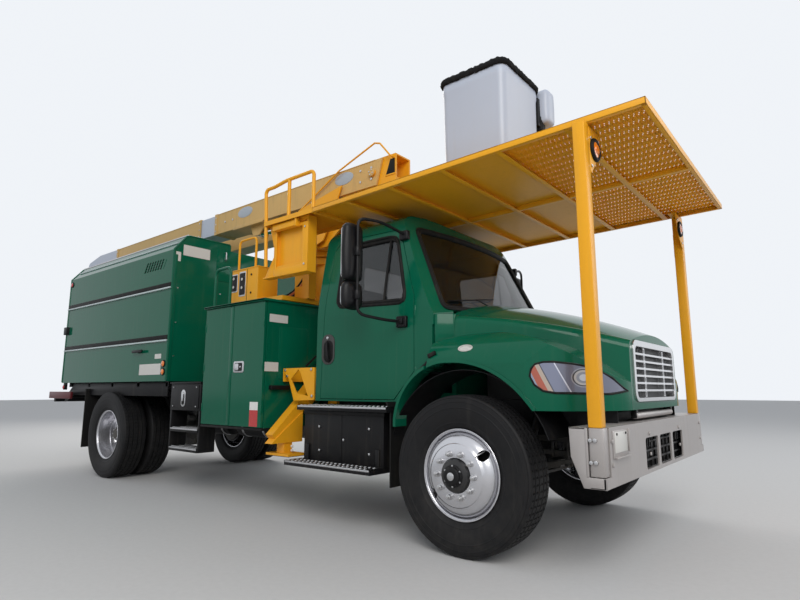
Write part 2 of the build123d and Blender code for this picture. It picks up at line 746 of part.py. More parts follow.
def bumper():
    face = block((BUMPER_FRONT - 12, BUMPER_FRONT), (-BUMPER_HALF_WIDTH, BUMPER_HALF_WIDTH),
                 (BUMPER_BOTTOM, BUMPER_TOP))
    for middle in (-335, 15, 365):
        slot = fillet(Rectangle(300, 200).vertices(), 40)
        face -= along_x(Pos(middle, 665) * slot, BUMPER_FRONT - 40, BUMPER_FRONT + 10)
    top = block((BUMPER_FRONT - 198, BUMPER_FRONT), (-BUMPER_HALF_WIDTH, BUMPER_HALF_WIDTH),
                (BUMPER_TOP - 10, BUMPER_TOP))
    lip = block((BUMPER_FRONT - 90, BUMPER_FRONT), (-BUMPER_HALF_WIDTH, BUMPER_HALF_WIDTH),
                (BUMPER_BOTTOM, BUMPER_BOTTOM + 10))
    end = shape((BUMPER_FRONT - 198, BUMPER_TOP), (BUMPER_FRONT - 193, 705),
                (BUMPER_FRONT - 126, BUMPER_BOTTOM), (BUMPER_FRONT, BUMPER_BOTTOM),
                (BUMPER_FRONT, BUMPER_TOP))
    ends = both_sides(along_y(end, BUMPER_HALF_WIDTH - 7, BUMPER_HALF_WIDTH))
    horn = block((RAIL_FRONT, BUMPER_FRONT - 12), (RAIL_HALF_WIDTH - RAIL_FLANGE, RAIL_HALF_WIDTH),
                 (700, BUMPER_TOP - 10))
    horns = both_sides(horn)
    part = face + top + lip + ends + horns
    hole = block((POST_X - 39, POST_X + 38.5), (POST_Y - 39, POST_Y + 38), (BUMPER_TOP - 60, BUMPER_TOP + 5))
    return part - both_sides(hole)


def canopy_place(part):
    """Tip the canopy about its rear edge so that its front stands a little higher."""
    return Pos(CANOPY_REAR, 0, CANOPY_TOP) * Rot(0, -CANOPY_TILT, 0) * part


def canopy():
    """A sheet deck on angle ribs inside an edge flange, its front two bays cut as a grid."""
    w = CANOPY_HALF_WIDTH
    long = CANOPY_LENGTH
    deck = block((0, long), (-w, w), (-5, 0))
    rim_part = block((0, long), (-w, w), (-CANOPY_FLANGE, 0))
    rim_part -= block((8, long - 8), (8 - w, w - 8), (-CANOPY_FLANGE - 1, -5))
    part = deck + rim_part
    for x in CANOPY_RIBS:
        part += block((x - 4, x + 4), (8 - w, w - 8), (-44, -4))
        part += block((x, x + 40), (8 - w, w - 8), (-44, -38))
    part += block((8, long - 8), (-4, 4), (-42, -4))
    bays = ((CANOPY_RIBS[3] + 4, CANOPY_RIBS[4] - 4), (CANOPY_RIBS[4] + 4, long - 8))
    cell = (w - 8 - 4) / MESH_COLUMNS
    for start, stop in bays:
        middle = (start + stop) / 2
        for x0, x1 in ((start, middle - MESH_BAR / 2), (middle + MESH_BAR / 2, stop)):
            for column in range(MESH_COLUMNS):
                y0 = 4 + column * cell + MESH_BAR / 2
                part -= both_sides(block((x0, x1), (y0, y0 + cell - MESH_BAR), (-6, 1)))
    part -= block((-5, 60), (-500, 500), (-60, 5))
    return canopy_place(part)


def platform():
    """The step platform behind the canopy's right corner, with the box and post hung under it."""
    top = CANOPY_TOP
    y = (-CANOPY_HALF_WIDTH, -PLATFORM_INNER_Y)
    deck = block((PLATFORM_REAR, CANOPY_REAR - 1), y, (top - 5, top))
    edge = block((PLATFORM_REAR, CANOPY_REAR - 1), y, (top - 45, top))
    edge -= block((PLATFORM_REAR + 8, CANOPY_REAR - 9), (y[0] + 8, y[1] - 8), (top - 60, top - 5))
    panel = block((-2100, -1620), (-1130, -1030), (2130, top - 20))
    panel -= block((-2080, -1640), (-1140, -1090), (2230, top - 60))
    gusset = shape((-2186, top - 20), (-2096, top - 20), (-2096, 2380))
    post = block((-2170, -2070), (-715, -620), (1980, top - 20))
    foot = block((-2300, -2170), (-700, -640), (1980, 2120))
    return deck + edge + panel + along_y(gusset, -1130, -1122) + post + foot + handrails()


def canopy_posts():
    half = POST_SIZE / 2
    post = block((POST_X - half, POST_X + half), (POST_Y - half, POST_Y + half), (BUMPER_BOTTOM + 12, 2800))
    bore = half - 6
    post -= block((POST_X - bore, POST_X + bore), (POST_Y - bore, POST_Y + bore), (500, 2900))
    gusset = shape((POST_Y - half, 2780), (POST_Y - half, 2420), (POST_Y - half - 40, 2440), (990, 2600),
                   (990, 2780))
    plate = along_x(gusset, POST_X + half - 8, POST_X + half)
    part = post + plate
    slab = canopy_place(block((-500, 4000), (-2000, 2000), (-CANOPY_FLANGE, 600)))
    return both_sides(part - slab)


def canopy_lamps():
    """Round lamps on the posts' gussets."""
    half = POST_SIZE / 2
    ring = round_x(70, (POST_X + half, POST_X + half + 30), 1110, 2540)
    dome = round_x(48, (POST_X + half + 30, POST_X + half + 42), 1110, 2540)
    return both_sides(ring + dome)


def handrails():
    """The hand rail over the step platform and its ladder rail."""
    r = 17
    y = RAIL_Y
    top = CANOPY_TOP
    loop = tube([(-2163, y, 2230), (-2205, y, RAIL_Z - 24), (-2080, y, RAIL_Z - 24), (-1885, y, RAIL_Z),
                 (-1510, y, RAIL_Z), (-1510, y, top + 4)], r, 45)
    middle = round_z(r, -1850, y, (top, RAIL_Z))
    return loop + middle


# Steps, boxes and body

def right_steps():
    upper = block((-1665, -646), (-1165, -780), (897, 945))
    case = block((-1650, -745), (-1085, -460), (487, 905))
    lower = block((-1720, -740), (-1243, -960), (455, 490))
    return upper + case + lower


def left_steps():
    upper = block((-1640, -720), (880, 1165), (912, 945))
    lower = block((-1640, -720), (1115, 1185), (455, 487))
    hangers = block((-1570, -1540), (1112, 1160), (455, 912)) + block((-850, -820), (1112, 1160), (455, 912))
    return upper + lower + hangers


def cab_steps():
    return right_steps() + left_steps()


def box_face(inset, floor):
    """The chip box's cross section in (Y, Z): straight sides, chamfered shoulders, a recessed roof."""
    i = inset
    half = BOX_HALF_WIDTH - i
    right = [(half, floor), (half, BOX_SHOULDER - i * 0.4), (1070 - i * 0.4, BOX_ROOF - 12 - i),
             (1040 - i * 0.4, BOX_ROOF - i), (BOX_RECESS_Y + i, BOX_ROOF - i),
             (BOX_RECESS_Y + i, BOX_RECESS - i)]
    left = [(-y, z) for y, z in reversed(right)]
    return shape(*(right + left))


def chip_box():
    body = along_x(box_face(0, BOX_BOTTOM - 60), BOX_REAR, BOX_FRONT)
    body -= along_x(box_face(BOX_WALL, BOX_BOTTOM - 20), BOX_REAR - 5, BOX_FRONT - BOX_WALL)
    rib = shape((BOX_HALF_WIDTH - 5, -40), (BOX_HALF_WIDTH + 12, -28), (BOX_HALF_WIDTH + 12, 24),
                (BOX_HALF_WIDTH - 5, 30))
    for z in (1645, 2250):
        body += both_sides(along_x(Pos(0, z) * rib, BOX_REAR + 60, BOX_FRONT - 60))
    return body


def box_subframe():
    """Runners and cross beams under the chip box, with the eyes that it tips about."""
    runner = block((BED_PIVOT[0] + 70, BOX_FRONT - 40), (352, 432), (RAIL_TOP + 10, BOX_BOTTOM - 60))
    runner += block((BED_PIVOT[0] - 60, BED_PIVOT[0] + 80), (352, 432), (BED_PIVOT[1] + 20, BOX_BOTTOM - 60))
    runner += round_y(38, BED_PIVOT[0], BED_EYE_Y, BED_PIVOT[1])
    runner -= round_y(BED_PIN_RADIUS + PIN_GAP, BED_PIVOT[0], (300, 500), BED_PIVOT[1])
    part = both_sides(runner)
    for x in (-6650, -6000, -5300, -4600, -3920):
        part += block((x - 30, x + 30), (-1150, 1150), (1110, BOX_BOTTOM - 60))
    return part


def bed_hinge():
    """A plate on the left rail's outer face that holds the bed's hinge pin."""
    x = BED_PIVOT[0]
    span = (x - 50, x + 50)
    plate = block(span, (RAIL_HALF_WIDTH + 6, RAIL_HALF_WIDTH + 20), (RAIL_TOP - 120, BED_PIVOT[1] + 30))
    foot = block(span, (RAIL_HALF_WIDTH, RAIL_HALF_WIDTH + 7), (RAIL_TOP - 120, RAIL_TOP - 10))
    pin = round_y(BED_PIN_RADIUS, x, (BED_EYE_Y[0], RAIL_HALF_WIDTH + 24), BED_PIVOT[1])
    return plate + foot + pin


def tailgate():
    x = (BOX_REAR - CLEARANCE - 30, BOX_REAR - CLEARANCE)
    plate = block(x, (-1200, 1200), (1180, 2650)) + block(x, (-1060, 1060), (2640, 2765))
    for low in (1200, 1950):
        plate += block((x[0] - 12, x[0]), (-1180, 1180), (low, low + 60))
    return plate


def tool_box():
    """The left tool box, open behind its two door leaves."""
    shell = block((TOOL_REAR, TOOL_FRONT), (TOOL_INNER_Y, TOOL_OUTER_Y - DOOR_LEAF - CLEARANCE),
                  (TOOL_BOTTOM, TOOL_TOP))
    shell -= block((TOOL_REAR + 30, TOOL_FRONT - 30), (TOOL_INNER_Y + 30, TOOL_OUTER_Y),
                   (TOOL_BOTTOM + 30, TOOL_TOP - 30))
    top = block((TOOL_REAR - 8, TOOL_FRONT + 8), (TOOL_INNER_Y, TOOL_OUTER_Y + 4), (TOOL_TOP, TOOL_TOP + 12))
    bearer = block((TOOL_REAR + 100, TOOL_FRONT - 100), (RAIL_HALF_WIDTH, TOOL_INNER_Y),
                   (TOOL_BOTTOM + 60, 940))
    return shell + top + bearer


def tool_boxes():
    return both_sides(tool_box())


def tool_door(front):
    middle = (TOOL_REAR + TOOL_FRONT) / 2
    x = (middle + 3, TOOL_FRONT - 6) if front else (TOOL_REAR + 6, middle - 3)
    return block(x, (TOOL_OUTER_Y - DOOR_LEAF, TOOL_OUTER_Y), (TOOL_BOTTOM + 6, TOOL_TOP - 6))


def step_ladder():
    """A black locker between the rear wheel and the tool box, with rungs below it."""
    part = block((-3790, -3190), (-1165, -760), (855, 1150))
    for z in (640, 440):
        part += block((-3780, -3200), (-1165, -960), (z, z + 30))
    for x in (-3790, -3220):
        part += block((x, x + 28), (-1160, -970), (430, 860))
    part += block((-3760, -3220), (-760, -RAIL_HALF_WIDTH), (880, 960))
    return part


def mud_flaps():
    flap = block((-5965, -5953), (620, 1205), (320, 1080))
    arm = block((-5990, -5945), (RAIL_HALF_WIDTH, 1205), (1050, 1085))
    return both_sides(flap + arm)


# Pedestal, outriggers and boom

def pedestal():
    base = block((TURN_X - 330, TURN_X + 330), (-500, 500), (RAIL_TOP, RAIL_TOP + 120))
    column = block((TURN_X - 270, TURN_X + 270), (-270, 270), (RAIL_TOP, TURN_Z - 70))
    bearing = round_z(360, TURN_X, 0, (TURN_Z - 80, TURN_Z - CLEARANCE))
    deck = block((-2900, -2110), (-1010, 1010), (1935, 1980))
    panel = block((-2990, -2510), (-1010, -760), (1980, 2320))
    part = base + column + bearing + deck + panel
    for x in (-2860, -2240):
        part += block((x, x + 60), (-500, 500), (1500, 1940))
    return part


def grab_rails():
    r = 15
    foot = TOOL_TOP + 12
    loop = [(-3060, -1140, foot), (-3060, -1140, 2330), (-2790, -1140, 2330), (-2790, -1140, foot)]
    return tube(loop, r, 60)


def leg_bar(size, start, stop):
    """A square bar on the left leg's line between two distances from its top."""
    dy, dz = (LEG_TOE[0] - LEG_TOP[0], LEG_TOE[1] - LEG_TOP[1])
    angle = math.degrees(math.atan2(dz, dy))
    bar = block((-size / 2, size / 2), (start, stop), (-size / 2, size / 2))
    return Pos(LEG_X, LEG_TOP[0], LEG_TOP[1]) * Rot(angle, 0, 0) * bar


def outriggers():
    """The fixed sleeves on the frame, each behind a yoke that hangs from two side plates."""
    sleeve = leg_bar(HOUSING_SIZE, -20, SLEEVE_LENGTH)
    brace = block((LEG_X - 60, LEG_X + 60), (RAIL_HALF_WIDTH, 470), (760, 1380))
    beam = block(YOKE_X, (440, 520), (1150, YOKE_TOP))
    part = sleeve + brace + beam
    for x in (YOKE_X[0], YOKE_X[1] - 12):
        part += block((x, x + 12), (440, YOKE_Y[1]), (1150, YOKE_TOP))
    outline = shape((YOKE_X[0], YOKE_TOP), (YOKE_X[1], YOKE_TOP), (YOKE_X[1], 985), (-1905, 977),
                    (-1986, 1176), (YOKE_X[0], 1240))
    gap = shape((-1850, YOKE_TOP - 12), (-1828, 1240), (-1712, 1018), (-1872, 1045), (-1955, 1170))
    part += along_y(outline - gap, YOKE_Y[0], YOKE_Y[1])
    part -= leg_bar(LEG_SIZE + 2 * CLEARANCE + 2, -60, LEG_LENGTH)
    return both_sides(part)


def outrigger_leg():
    """The left leg with the gusset under its toe and the pad."""
    y, z = LEG_TOE
    leg = leg_bar(LEG_SIZE, 60, LEG_LENGTH)
    gusset = shape((y + 45, z - 42), (y - 300, z - 42), (y - 300, z + 225), (y, z))
    foot = along_x(gusset, LEG_X - 40, LEG_X + 60)
    ankle = block((LEG_X - 50, LEG_X + 50), (y - 190, y - 100), (z - 135, z - 35))
    pad = block((LEG_X - 140, LEG_X + 170), (y - 250, y - 50), (z - 152, z - 130))
    return leg + foot + ankle + pad


def turntable():
    """The turning base with the two cheeks that stand in the boom's clevis and the outer wings."""
    base = round_z(400, TURN_X, 0, (TURN_Z, TURN_Z + 60))
    plinth = block((TURN_X - 330, TURN_X + 300), (LOWER_Y[0] - 50, 330), (TURN_Z + 55, TURN_Z + 110))
    cheek = shape((-2880, 2585), (-2130, 2585), (-1840, 2825), (-1500, 3062), (-1175, 3062), (-1175, 3375),
                  (-1560, 3375), (-1790, 3200), (-1900, 3075), (-2880, 2800))
    part = base + plinth
    for y in CHEEK_Y:
        part += along_y(cheek, y[0], y[1])
    part += block((-1400, -1175), (CHEEK_Y[0][0], CHEEK_Y[1][1]), (3360, 3375))
    part += round_y(32, -1210, (CHEEK_Y[0][0], CHEEK_Y[1][1]), 3120)
    wing = shape((-2700, 2600), (-2250, 2600), (-2130, 2640), (-1990, 2900), (-1865, 3189), (-2540, 3057))
    part += along_y(wing, WING_Y[0], WING_Y[1])
    y = WING_Y[0] + 4
    part += tube([(-2520, y, 3050), (-1903, y, 3363), (-1405, y, 3524), (-1335, y, 3500), (-1200, y, 3335),
                  (-1200, CHEEK_Y[0][0] + 10, 3335)], 9, 25)
    part += round_y(PIVOT_PIN_RADIUS, PIVOT[0], (LOWER_Y[0] - 20, LOWER_Y[1] + 20), PIVOT[1])
    ends = (CHEEK_Y[0][0] - 5, CHEEK_Y[1][1] + 5)
    part += round_y(BASE_PIN_RADIUS, CYLINDER_BASE[0], ends, CYLINDER_BASE[1])
    return part


def lower_boom():
    """The boom's box, a clevis at its pivot end, and the ears for the lift cylinder's rod."""
    y = LOWER_Y
    z = PIVOT[1]
    h = BOOM_HALF_DEPTH
    front = shape((INSERT_X[1], z - h), (-1407, z - h), (-1330, z + h), (INSERT_X[1], z + h))
    part = along_y(front, y[0], y[1])
    part -= block((CLEVIS_X, -1300), (y[0] + CLEVIS_SIDE, y[1] - CLEVIS_SIDE), (z - h - 5, z + h + 5))
    part -= round_y(PIVOT_PIN_RADIUS + PIN_GAP, PIVOT[0], (y[0] - 5, y[1] + 5), z)
    part += block((COVER_X, INSERT_X[0]), y, (z - h, z + h))
    part += block((-3830, -3240), (y[0] - 5, y[1] + 5), (z - h - 15, z - h))
    ears = shape((CYLINDER_EYE[0] - 120, z - h), (CYLINDER_EYE[0] + 160, z - h),
                 (CYLINDER_EYE[0] + 60, CYLINDER_EYE[1] - 45), (CYLINDER_EYE[0] - 60, CYLINDER_EYE[1] - 45))
    for y0 in (CYLINDER_Y - 70, CYLINDER_Y + 50):
        part += along_y(ears, y0, y0 + 20)
    return part


def boom_insert():
    """The insulating stretch of the lower boom and the housing at its elbow."""
    z = PIVOT[1]
    h = BOOM_HALF_DEPTH
    insert = block(INSERT_X, (LOWER_Y[0] + 6, LOWER_Y[1] - 6), (z - h + 6, z + h - 6))
    housing = make_face([
        Line((COVER_X, z - h), (ELBOW[0] - 100, z - h)),
        Line((ELBOW[0] - 100, z - h), (REAR_END, z - 40)),
        ThreePointArc((REAR_END, z - 40), (REAR_END + 12, z + 20), (REAR_END + 60, z + 60)),
        Line((REAR_END + 60, z + 60), (ELBOW[0] - 200, z + h)),
        Line((ELBOW[0] - 200, z + h), (COVER_X, z + h)),
        Line((COVER_X, z + h), (COVER_X, z - h)),
    ])
    elbow = along_y(housing, LOWER_Y[0], LOWER_Y[1])
    elbow += round_y(105, ELBOW[0], (LOWER_Y[1] - 5, UPPER_Y[0] - CLEARANCE), ELBOW[1])
    elbow += round_y(ELBOW_PIN_RADIUS, ELBOW[0], (LOWER_Y[1] - 5, UPPER_Y[1] + 15), ELBOW[1])
    return insert + elbow


def upper_boom():
    y = UPPER_Y
    z = ELBOW[1]
    h = UPPER_HALF_DEPTH
    side = make_face([
        Line((ELBOW[0], z - h - 10), (BUCKET_PIVOT[0], z - 80)),
        ThreePointArc((BUCKET_PIVOT[0], z - 80), (BUCKET_PIVOT[0] + 80, z), (BUCKET_PIVOT[0], z + 80)),
        Line((BUCKET_PIVOT[0], z + 80), (ELBOW[0], z + h + 10)),
        ThreePointArc((ELBOW[0], z + h + 10), (ELBOW[0] - h - 10, z), (ELBOW[0], z - h - 10)),
    ])
    part = along_y(side, y[0], y[1])
    part -= round_y(ELBOW_PIN_RADIUS + PIN_GAP, ELBOW[0], (y[0] - 5, y[1] + 5), z)
    part -= round_y(BUCKET_PIN_RADIUS + PIN_GAP, BUCKET_PIVOT[0], (y[0] - 5, y[1] + 5), z)
    return part


def bucket_plan(grow):
    """The bucket's outline in (X, Y), grown or shrunk."""
    size = (BUCKET_X[1] - BUCKET_X[0] + 2 * grow, BUCKET_Y[1] - BUCKET_Y[0] + 2 * grow)
    middle = ((BUCKET_X[0] + BUCKET_X[1]) / 2, (BUCKET_Y[0] + BUCKET_Y[1]) / 2)
    return Pos(middle[0], middle[1]) * Rectangle(size[0], size[1])


def bucket():
    body = along_z(fillet(bucket_plan(0).vertices(), 45), BUCKET_Z[0], BUCKET_Z[1] - 20)
    body -= along_z(bucket_plan(-BUCKET_WALL), BUCKET_Z[0] + BUCKET_WALL, BUCKET_Z[1] + 5)
    mount = round_y(BUCKET_PIN_RADIUS, BUCKET_PIVOT[0], (BUCKET_Y[1] - 5, UPPER_Y[1] + 12), BUCKET_PIVOT[1])
    console = block((-50, 120), (BUCKET_Y[1] + 20, BUCKET_Y[1] + 190), (3480, 3900))
    arm = block((0, 44), (BUCKET_Y[1] - 5, BUCKET_Y[1] + 30), (3520, 3800))
    return body + mount + console + arm


def bucket_rim():
    outer = fillet(bucket_plan(12).vertices(), 55)
    return along_z(outer - bucket_plan(-BUCKET_WALL), BUCKET_Z[1] - 20, BUCKET_Z[1] + 15)


def cylinder_frame(part):
    """Place a piece drawn along +X from the cylinder's base pin on the cylinder's line."""
    dx = CYLINDER_EYE[0] - CYLINDER_BASE[0]
    dz = CYLINDER_EYE[1] - CYLINDER_BASE[1]
    angle = math.degrees(math.atan2(dz, dx))
    return Pos(CYLINDER_BASE[0], CYLINDER_Y, CYLINDER_BASE[1]) * Rot(0, -angle, 0) * part


def cylinder_barrel():
    """The lift cylinder's barrel with its eye, drawn along +X from the base pin."""
    bore = round_x(ROD_RADIUS + 1, (100, BARREL_LENGTH + 5), 0, 0)
    part = round_x(BARREL_RADIUS, (60, BARREL_LENGTH), 0, 0) - bore
    part += round_y(60, 0, (-50, 50), 0) + round_x(40, (0, 70), 0, 0)
    part -= round_y(BASE_PIN_RADIUS + PIN_GAP, 0, (-60, 60), 0)
    return cylinder_frame(part)


def cylinder_rod():
    length = math.hypot(CYLINDER_EYE[0] - CYLINDER_BASE[0], CYLINDER_EYE[1] - CYLINDER_BASE[1])
    rod = round_x(ROD_RADIUS, (130, length), 0, 0)
    eye = round_y(44, length, (-40, 40), 0) - round_y(24, length, (-45, 45), 0)
    rod -= round_y(24, length, (-45, 45), 0)
    return cylinder_frame(rod + eye)


def right(part_function, *values):
    return other_side(part_function(*values))


NODES = {
    "frame_rails": frame_rails,
    "front_axle": front_axle,
    "rear_axle": rear_axle,
    "drive_shaft": drive_shaft,
    "engine": engine,
    "radiator": radiator,
    "fuel_tank": fuel_tank,
    "bumper": bumper,
    "canopy_posts": canopy_posts,
    "canopy_lamps": canopy_lamps,
    "canopy": canopy,
    "platform": platform,
    "cab_shell": cab_shell,
    "cab_glass": cab_glass,
    "cab_interior": cab_interior,
    "cab_steps": cab_steps,
    "tool_boxes": tool_boxes,
    "step_ladder": step_ladder,
    "mud_flaps": mud_flaps,
    "pedestal": pedestal,
    "grab_rails": grab_rails,
    "outriggers": outriggers,
    "hood": hood,
    "grille": grille,
    "headlamps": headlamps,
    "knuckle_left": knuckle,
    "knuckle_right": lambda: right(knuckle),
    "tyre_front_left": front_tyre,
    "tyre_front_right": lambda: right(front_tyre),
    "wheel_front_left": front_wheel,
    "wheel_front_right": lambda: right(front_wheel),
    "tyres_rear_left": rear_tyres,
    "tyres_rear_right": lambda: right(rear_tyres),
    "wheels_rear_left": rear_wheels,
    "wheels_rear_right": lambda: right(rear_wheels),
    "door_left": cab_door,
    "door_right": lambda: right(cab_door),
    "door_glass_left": door_glass,
    "door_glass_right": lambda: right(door_glass),
    "mirrors_left": mirror_arm,
    "mirrors_right": lambda: right(mirror_arm),
    "chip_box": chip_box,
    "box_subframe": box_subframe,
    "tailgate": tailgate,
    "tool_door_left_front": lambda: tool_door(True),
    "tool_door_left_rear": lambda: tool_door(False),
    "tool_door_right_front": lambda: right(tool_door, True),
    "tool_door_right_rear": lambda: right(tool_door, False),
    "outrigger_leg_left": outrigger_leg,
    "outrigger_leg_right": lambda: right(outrigger_leg),
    "turntable": turntable,
    "lower_boom": lower_boom,
    "boom_insert": boom_insert,
    "upper_boom": upper_boom,
    "bucket": bucket,
    "bucket_rim": bucket_rim,
    "cylinder_barrel": cylinder_barrel,
    "cylinder_rod": cylinder_rod,
}


def main():
    os.makedirs("parts", exist_ok=True)
    for name, build in NODES.items():
        placed = Pos(ORIGIN_SHIFT, 0, 0) * build()
        export_step(placed, "parts/" + name + ".step")


main()
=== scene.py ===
"""A forestry bucket truck, dressed for rendering round its packed CAD model."""
import json
import math

import bmesh
import bpy
from mathutils import Matrix, Vector, noise
from mathutils.bvhtree import BVHTree


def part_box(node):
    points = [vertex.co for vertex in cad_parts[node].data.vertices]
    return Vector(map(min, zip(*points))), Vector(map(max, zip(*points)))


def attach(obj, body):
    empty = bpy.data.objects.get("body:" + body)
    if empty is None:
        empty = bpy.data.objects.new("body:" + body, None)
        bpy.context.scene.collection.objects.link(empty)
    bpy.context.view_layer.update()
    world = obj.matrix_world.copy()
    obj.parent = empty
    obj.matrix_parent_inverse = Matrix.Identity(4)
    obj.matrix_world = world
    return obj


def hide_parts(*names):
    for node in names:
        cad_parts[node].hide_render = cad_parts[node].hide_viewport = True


bl_info = {
    "name": "Bucket truck",
    "version": (1, 0, 0),
    "blender": (4, 5, 0),
    "location": "3D View > Sidebar > Bucket truck",
    "description": "Models the finish and fittings of a forestry bucket truck",
    "category": "Add Mesh",
}

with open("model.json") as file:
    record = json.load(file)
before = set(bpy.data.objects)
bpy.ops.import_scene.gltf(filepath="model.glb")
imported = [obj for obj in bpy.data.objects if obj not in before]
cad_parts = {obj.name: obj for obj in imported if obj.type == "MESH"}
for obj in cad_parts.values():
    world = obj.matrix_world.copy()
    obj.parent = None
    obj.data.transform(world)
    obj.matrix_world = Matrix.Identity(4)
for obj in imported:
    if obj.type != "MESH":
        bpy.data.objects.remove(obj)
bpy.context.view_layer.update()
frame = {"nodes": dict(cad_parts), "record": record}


def middle(node):
    """The middle of a CAD node's box."""
    low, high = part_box(node)
    return (low + high) / 2


# Lengths are in metres. Pieces are drawn from the front axle, which stands here in the frame.
AXLE_X = middle("tyre_front_left").x
AXLE_Z = middle("tyre_front_left").z
REAR_AXLE = middle("tyres_rear_left").x - AXLE_X
FRONT_WHEEL_Y = middle("tyre_front_left").y
REAR_WHEEL_Y = middle("tyres_rear_left").y
DISC_OUTSET = 0.168
SIDES = (("left", 1), ("right", -1))
FLIP = Matrix.Diagonal((1, -1, 1, 1))

# Camera, fitted to the photograph
IMAGE_WIDTH = 800
FOCAL_PIXELS = 547.0
SENSOR = 36.0
EYE = (2.0618, -4.3339, 1.0796)
EYE_YAW = 129.15
EYE_PITCH = 9.26

# Shader building


def feed(tree, made, inputs):
    """Link or set a node's inputs."""
    for name, value in inputs.items():
        if isinstance(value, bpy.types.NodeSocket):
            tree.links.new(value, made.inputs[name])
        else:
            made.inputs[name].default_value = value


def node(tree, kind, inputs=None, **settings):
    """Add a shader node with its settings, and values or links for its inputs."""
    made = tree.nodes.new(kind)
    for name, value in settings.items():
        setattr(made, name, value)
    feed(tree, made, inputs or {})
    return made


def group_tree(name, inputs, outputs):
    """A new shader node group, its inputs named with their defaults and its outputs with their kinds."""
    tree = bpy.data.node_groups.new(name, "ShaderNodeTree")
    for label, default in inputs.items():
        kind = "NodeSocketColor" if isinstance(default, tuple) else "NodeSocketFloat"
        tree.interface.new_socket(label, in_out="INPUT", socket_type=kind).default_value = default
    for label, kind in outputs.items():
        tree.interface.new_socket(label, in_out="OUTPUT", socket_type="NodeSocket" + kind)
    return tree, tree.nodes.new("NodeGroupInput").outputs, tree.nodes.new("NodeGroupOutput")


def calc(tree, operation, *values, clamp=False):
    """The result of a Math node."""
    return node(tree, "ShaderNodeMath", dict(enumerate(values)), operation=operation, use_clamp=clamp).outputs[0]


def spread(tree, value, low, high, to_low=0.0, to_high=1.0):
    """A value whose range is stretched to another range."""
    return node(tree, "ShaderNodeMapRange", {"Value": value, "From Min": low, "From Max": high, "To Min": to_low,
                                             "To Max": to_high}).outputs[0]


def own_place(tree):
    return node(tree, "ShaderNodeTexCoord").outputs["Object"]


def cloudy(tree, place, scale, detail, roughness=0.5):
    """Noise at a place."""
    return node(tree, "ShaderNodeTexNoise", {"Vector": place, "Scale": scale, "Detail": detail,
                                             "Roughness": roughness}).outputs["Fac"]


def mixed(tree, share, first, second):
    """Two colours mixed."""
    return node(tree, "ShaderNodeMix", {0: share, 6: first, 7: second}, data_type="RGBA").outputs[2]


def weathered_group():
    """Tone changes over a face, dust that settles low down and runs that streak down the sides."""
    tree, given, out = group_tree(
        "Weathered", {"Colour": (0.5, 0.5, 0.5, 1), "Dust Colour": (0.3, 0.27, 0.22, 1), "Tone": 0.05, "Dust": 0.3,
                      "Dust Height": 1.0, "Streaks": 0.1, "Roughness": 0.3},
        {"Colour": "Color", "Roughness": "Float"})
    place = own_place(tree)
    tone = calc(tree, "SUBTRACT", cloudy(tree, place, 2.3, 5.0, 0.6), 0.5)
    tone = calc(tree, "ADD", calc(tree, "MULTIPLY", tone, given["Tone"]), 1.0)
    toned = node(tree, "ShaderNodeVectorMath", {0: given["Colour"], "Scale": tone}, operation="SCALE").outputs[0]
    height = node(tree, "ShaderNodeSeparateXYZ", {0: place}).outputs["Z"]
    low = calc(tree, "POWER", spread(tree, height, 0.0, given["Dust Height"], 1.0, 0.0), 1.7)
    grit = spread(tree, cloudy(tree, place, 11.0, 8.0, 0.68), 0.38, 0.66)
    settled = calc(tree, "MULTIPLY", calc(tree, "MULTIPLY", low, grit), given["Dust"])
    drawn_down = node(tree, "ShaderNodeMapping", {"Vector": place, "Scale": (7.0, 7.0, 0.5)}).outputs[0]
    runs = calc(tree, "MULTIPLY", spread(tree, cloudy(tree, drawn_down, 3.0, 4.0), 0.56, 0.74), given["Streaks"])
    film = calc(tree, "ADD", settled, runs, clamp=True)
    dulling = 0.45
    feed(tree, out, {"Colour": mixed(tree, film, toned, given["Dust Colour"]),
                     "Roughness": calc(tree, "MULTIPLY_ADD", film, dulling, given["Roughness"])})
    return tree


def grain_group():
    """Fine relief: a soft ripple with a finer pebble on it."""
    tree, given, out = group_tree("Grain", {"Ripple Scale": 60.0, "Pebble Scale": 400.0, "Pebble Share": 0.5},
                                  {"Height": "Float"})
    place = own_place(tree)
    ripple = cloudy(tree, place, given["Ripple Scale"], 2.0)
    pebble = node(tree, "ShaderNodeTexVoronoi", {"Vector": place, "Scale": given["Pebble Scale"]}).outputs["Distance"]
    height = node(tree, "ShaderNodeMix", {0: given["Pebble Share"], 2: ripple, 3: pebble}).outputs[0]
    feed(tree, out, {"Height": height})
    return tree


GROUPS = {}


def shared(name, maker):
    if name not in GROUPS:
        GROUPS[name] = maker()
    return GROUPS[name]


def new_look(name):
    """A new material with its tree and its shader."""
    look = bpy.data.materials.new(name)
    look.use_nodes = True
    return look, look.node_tree, look.node_tree.nodes["Principled BSDF"]


DUST = (0.33, 0.29, 0.23, 1)
EDGE_ROUND = 0.003


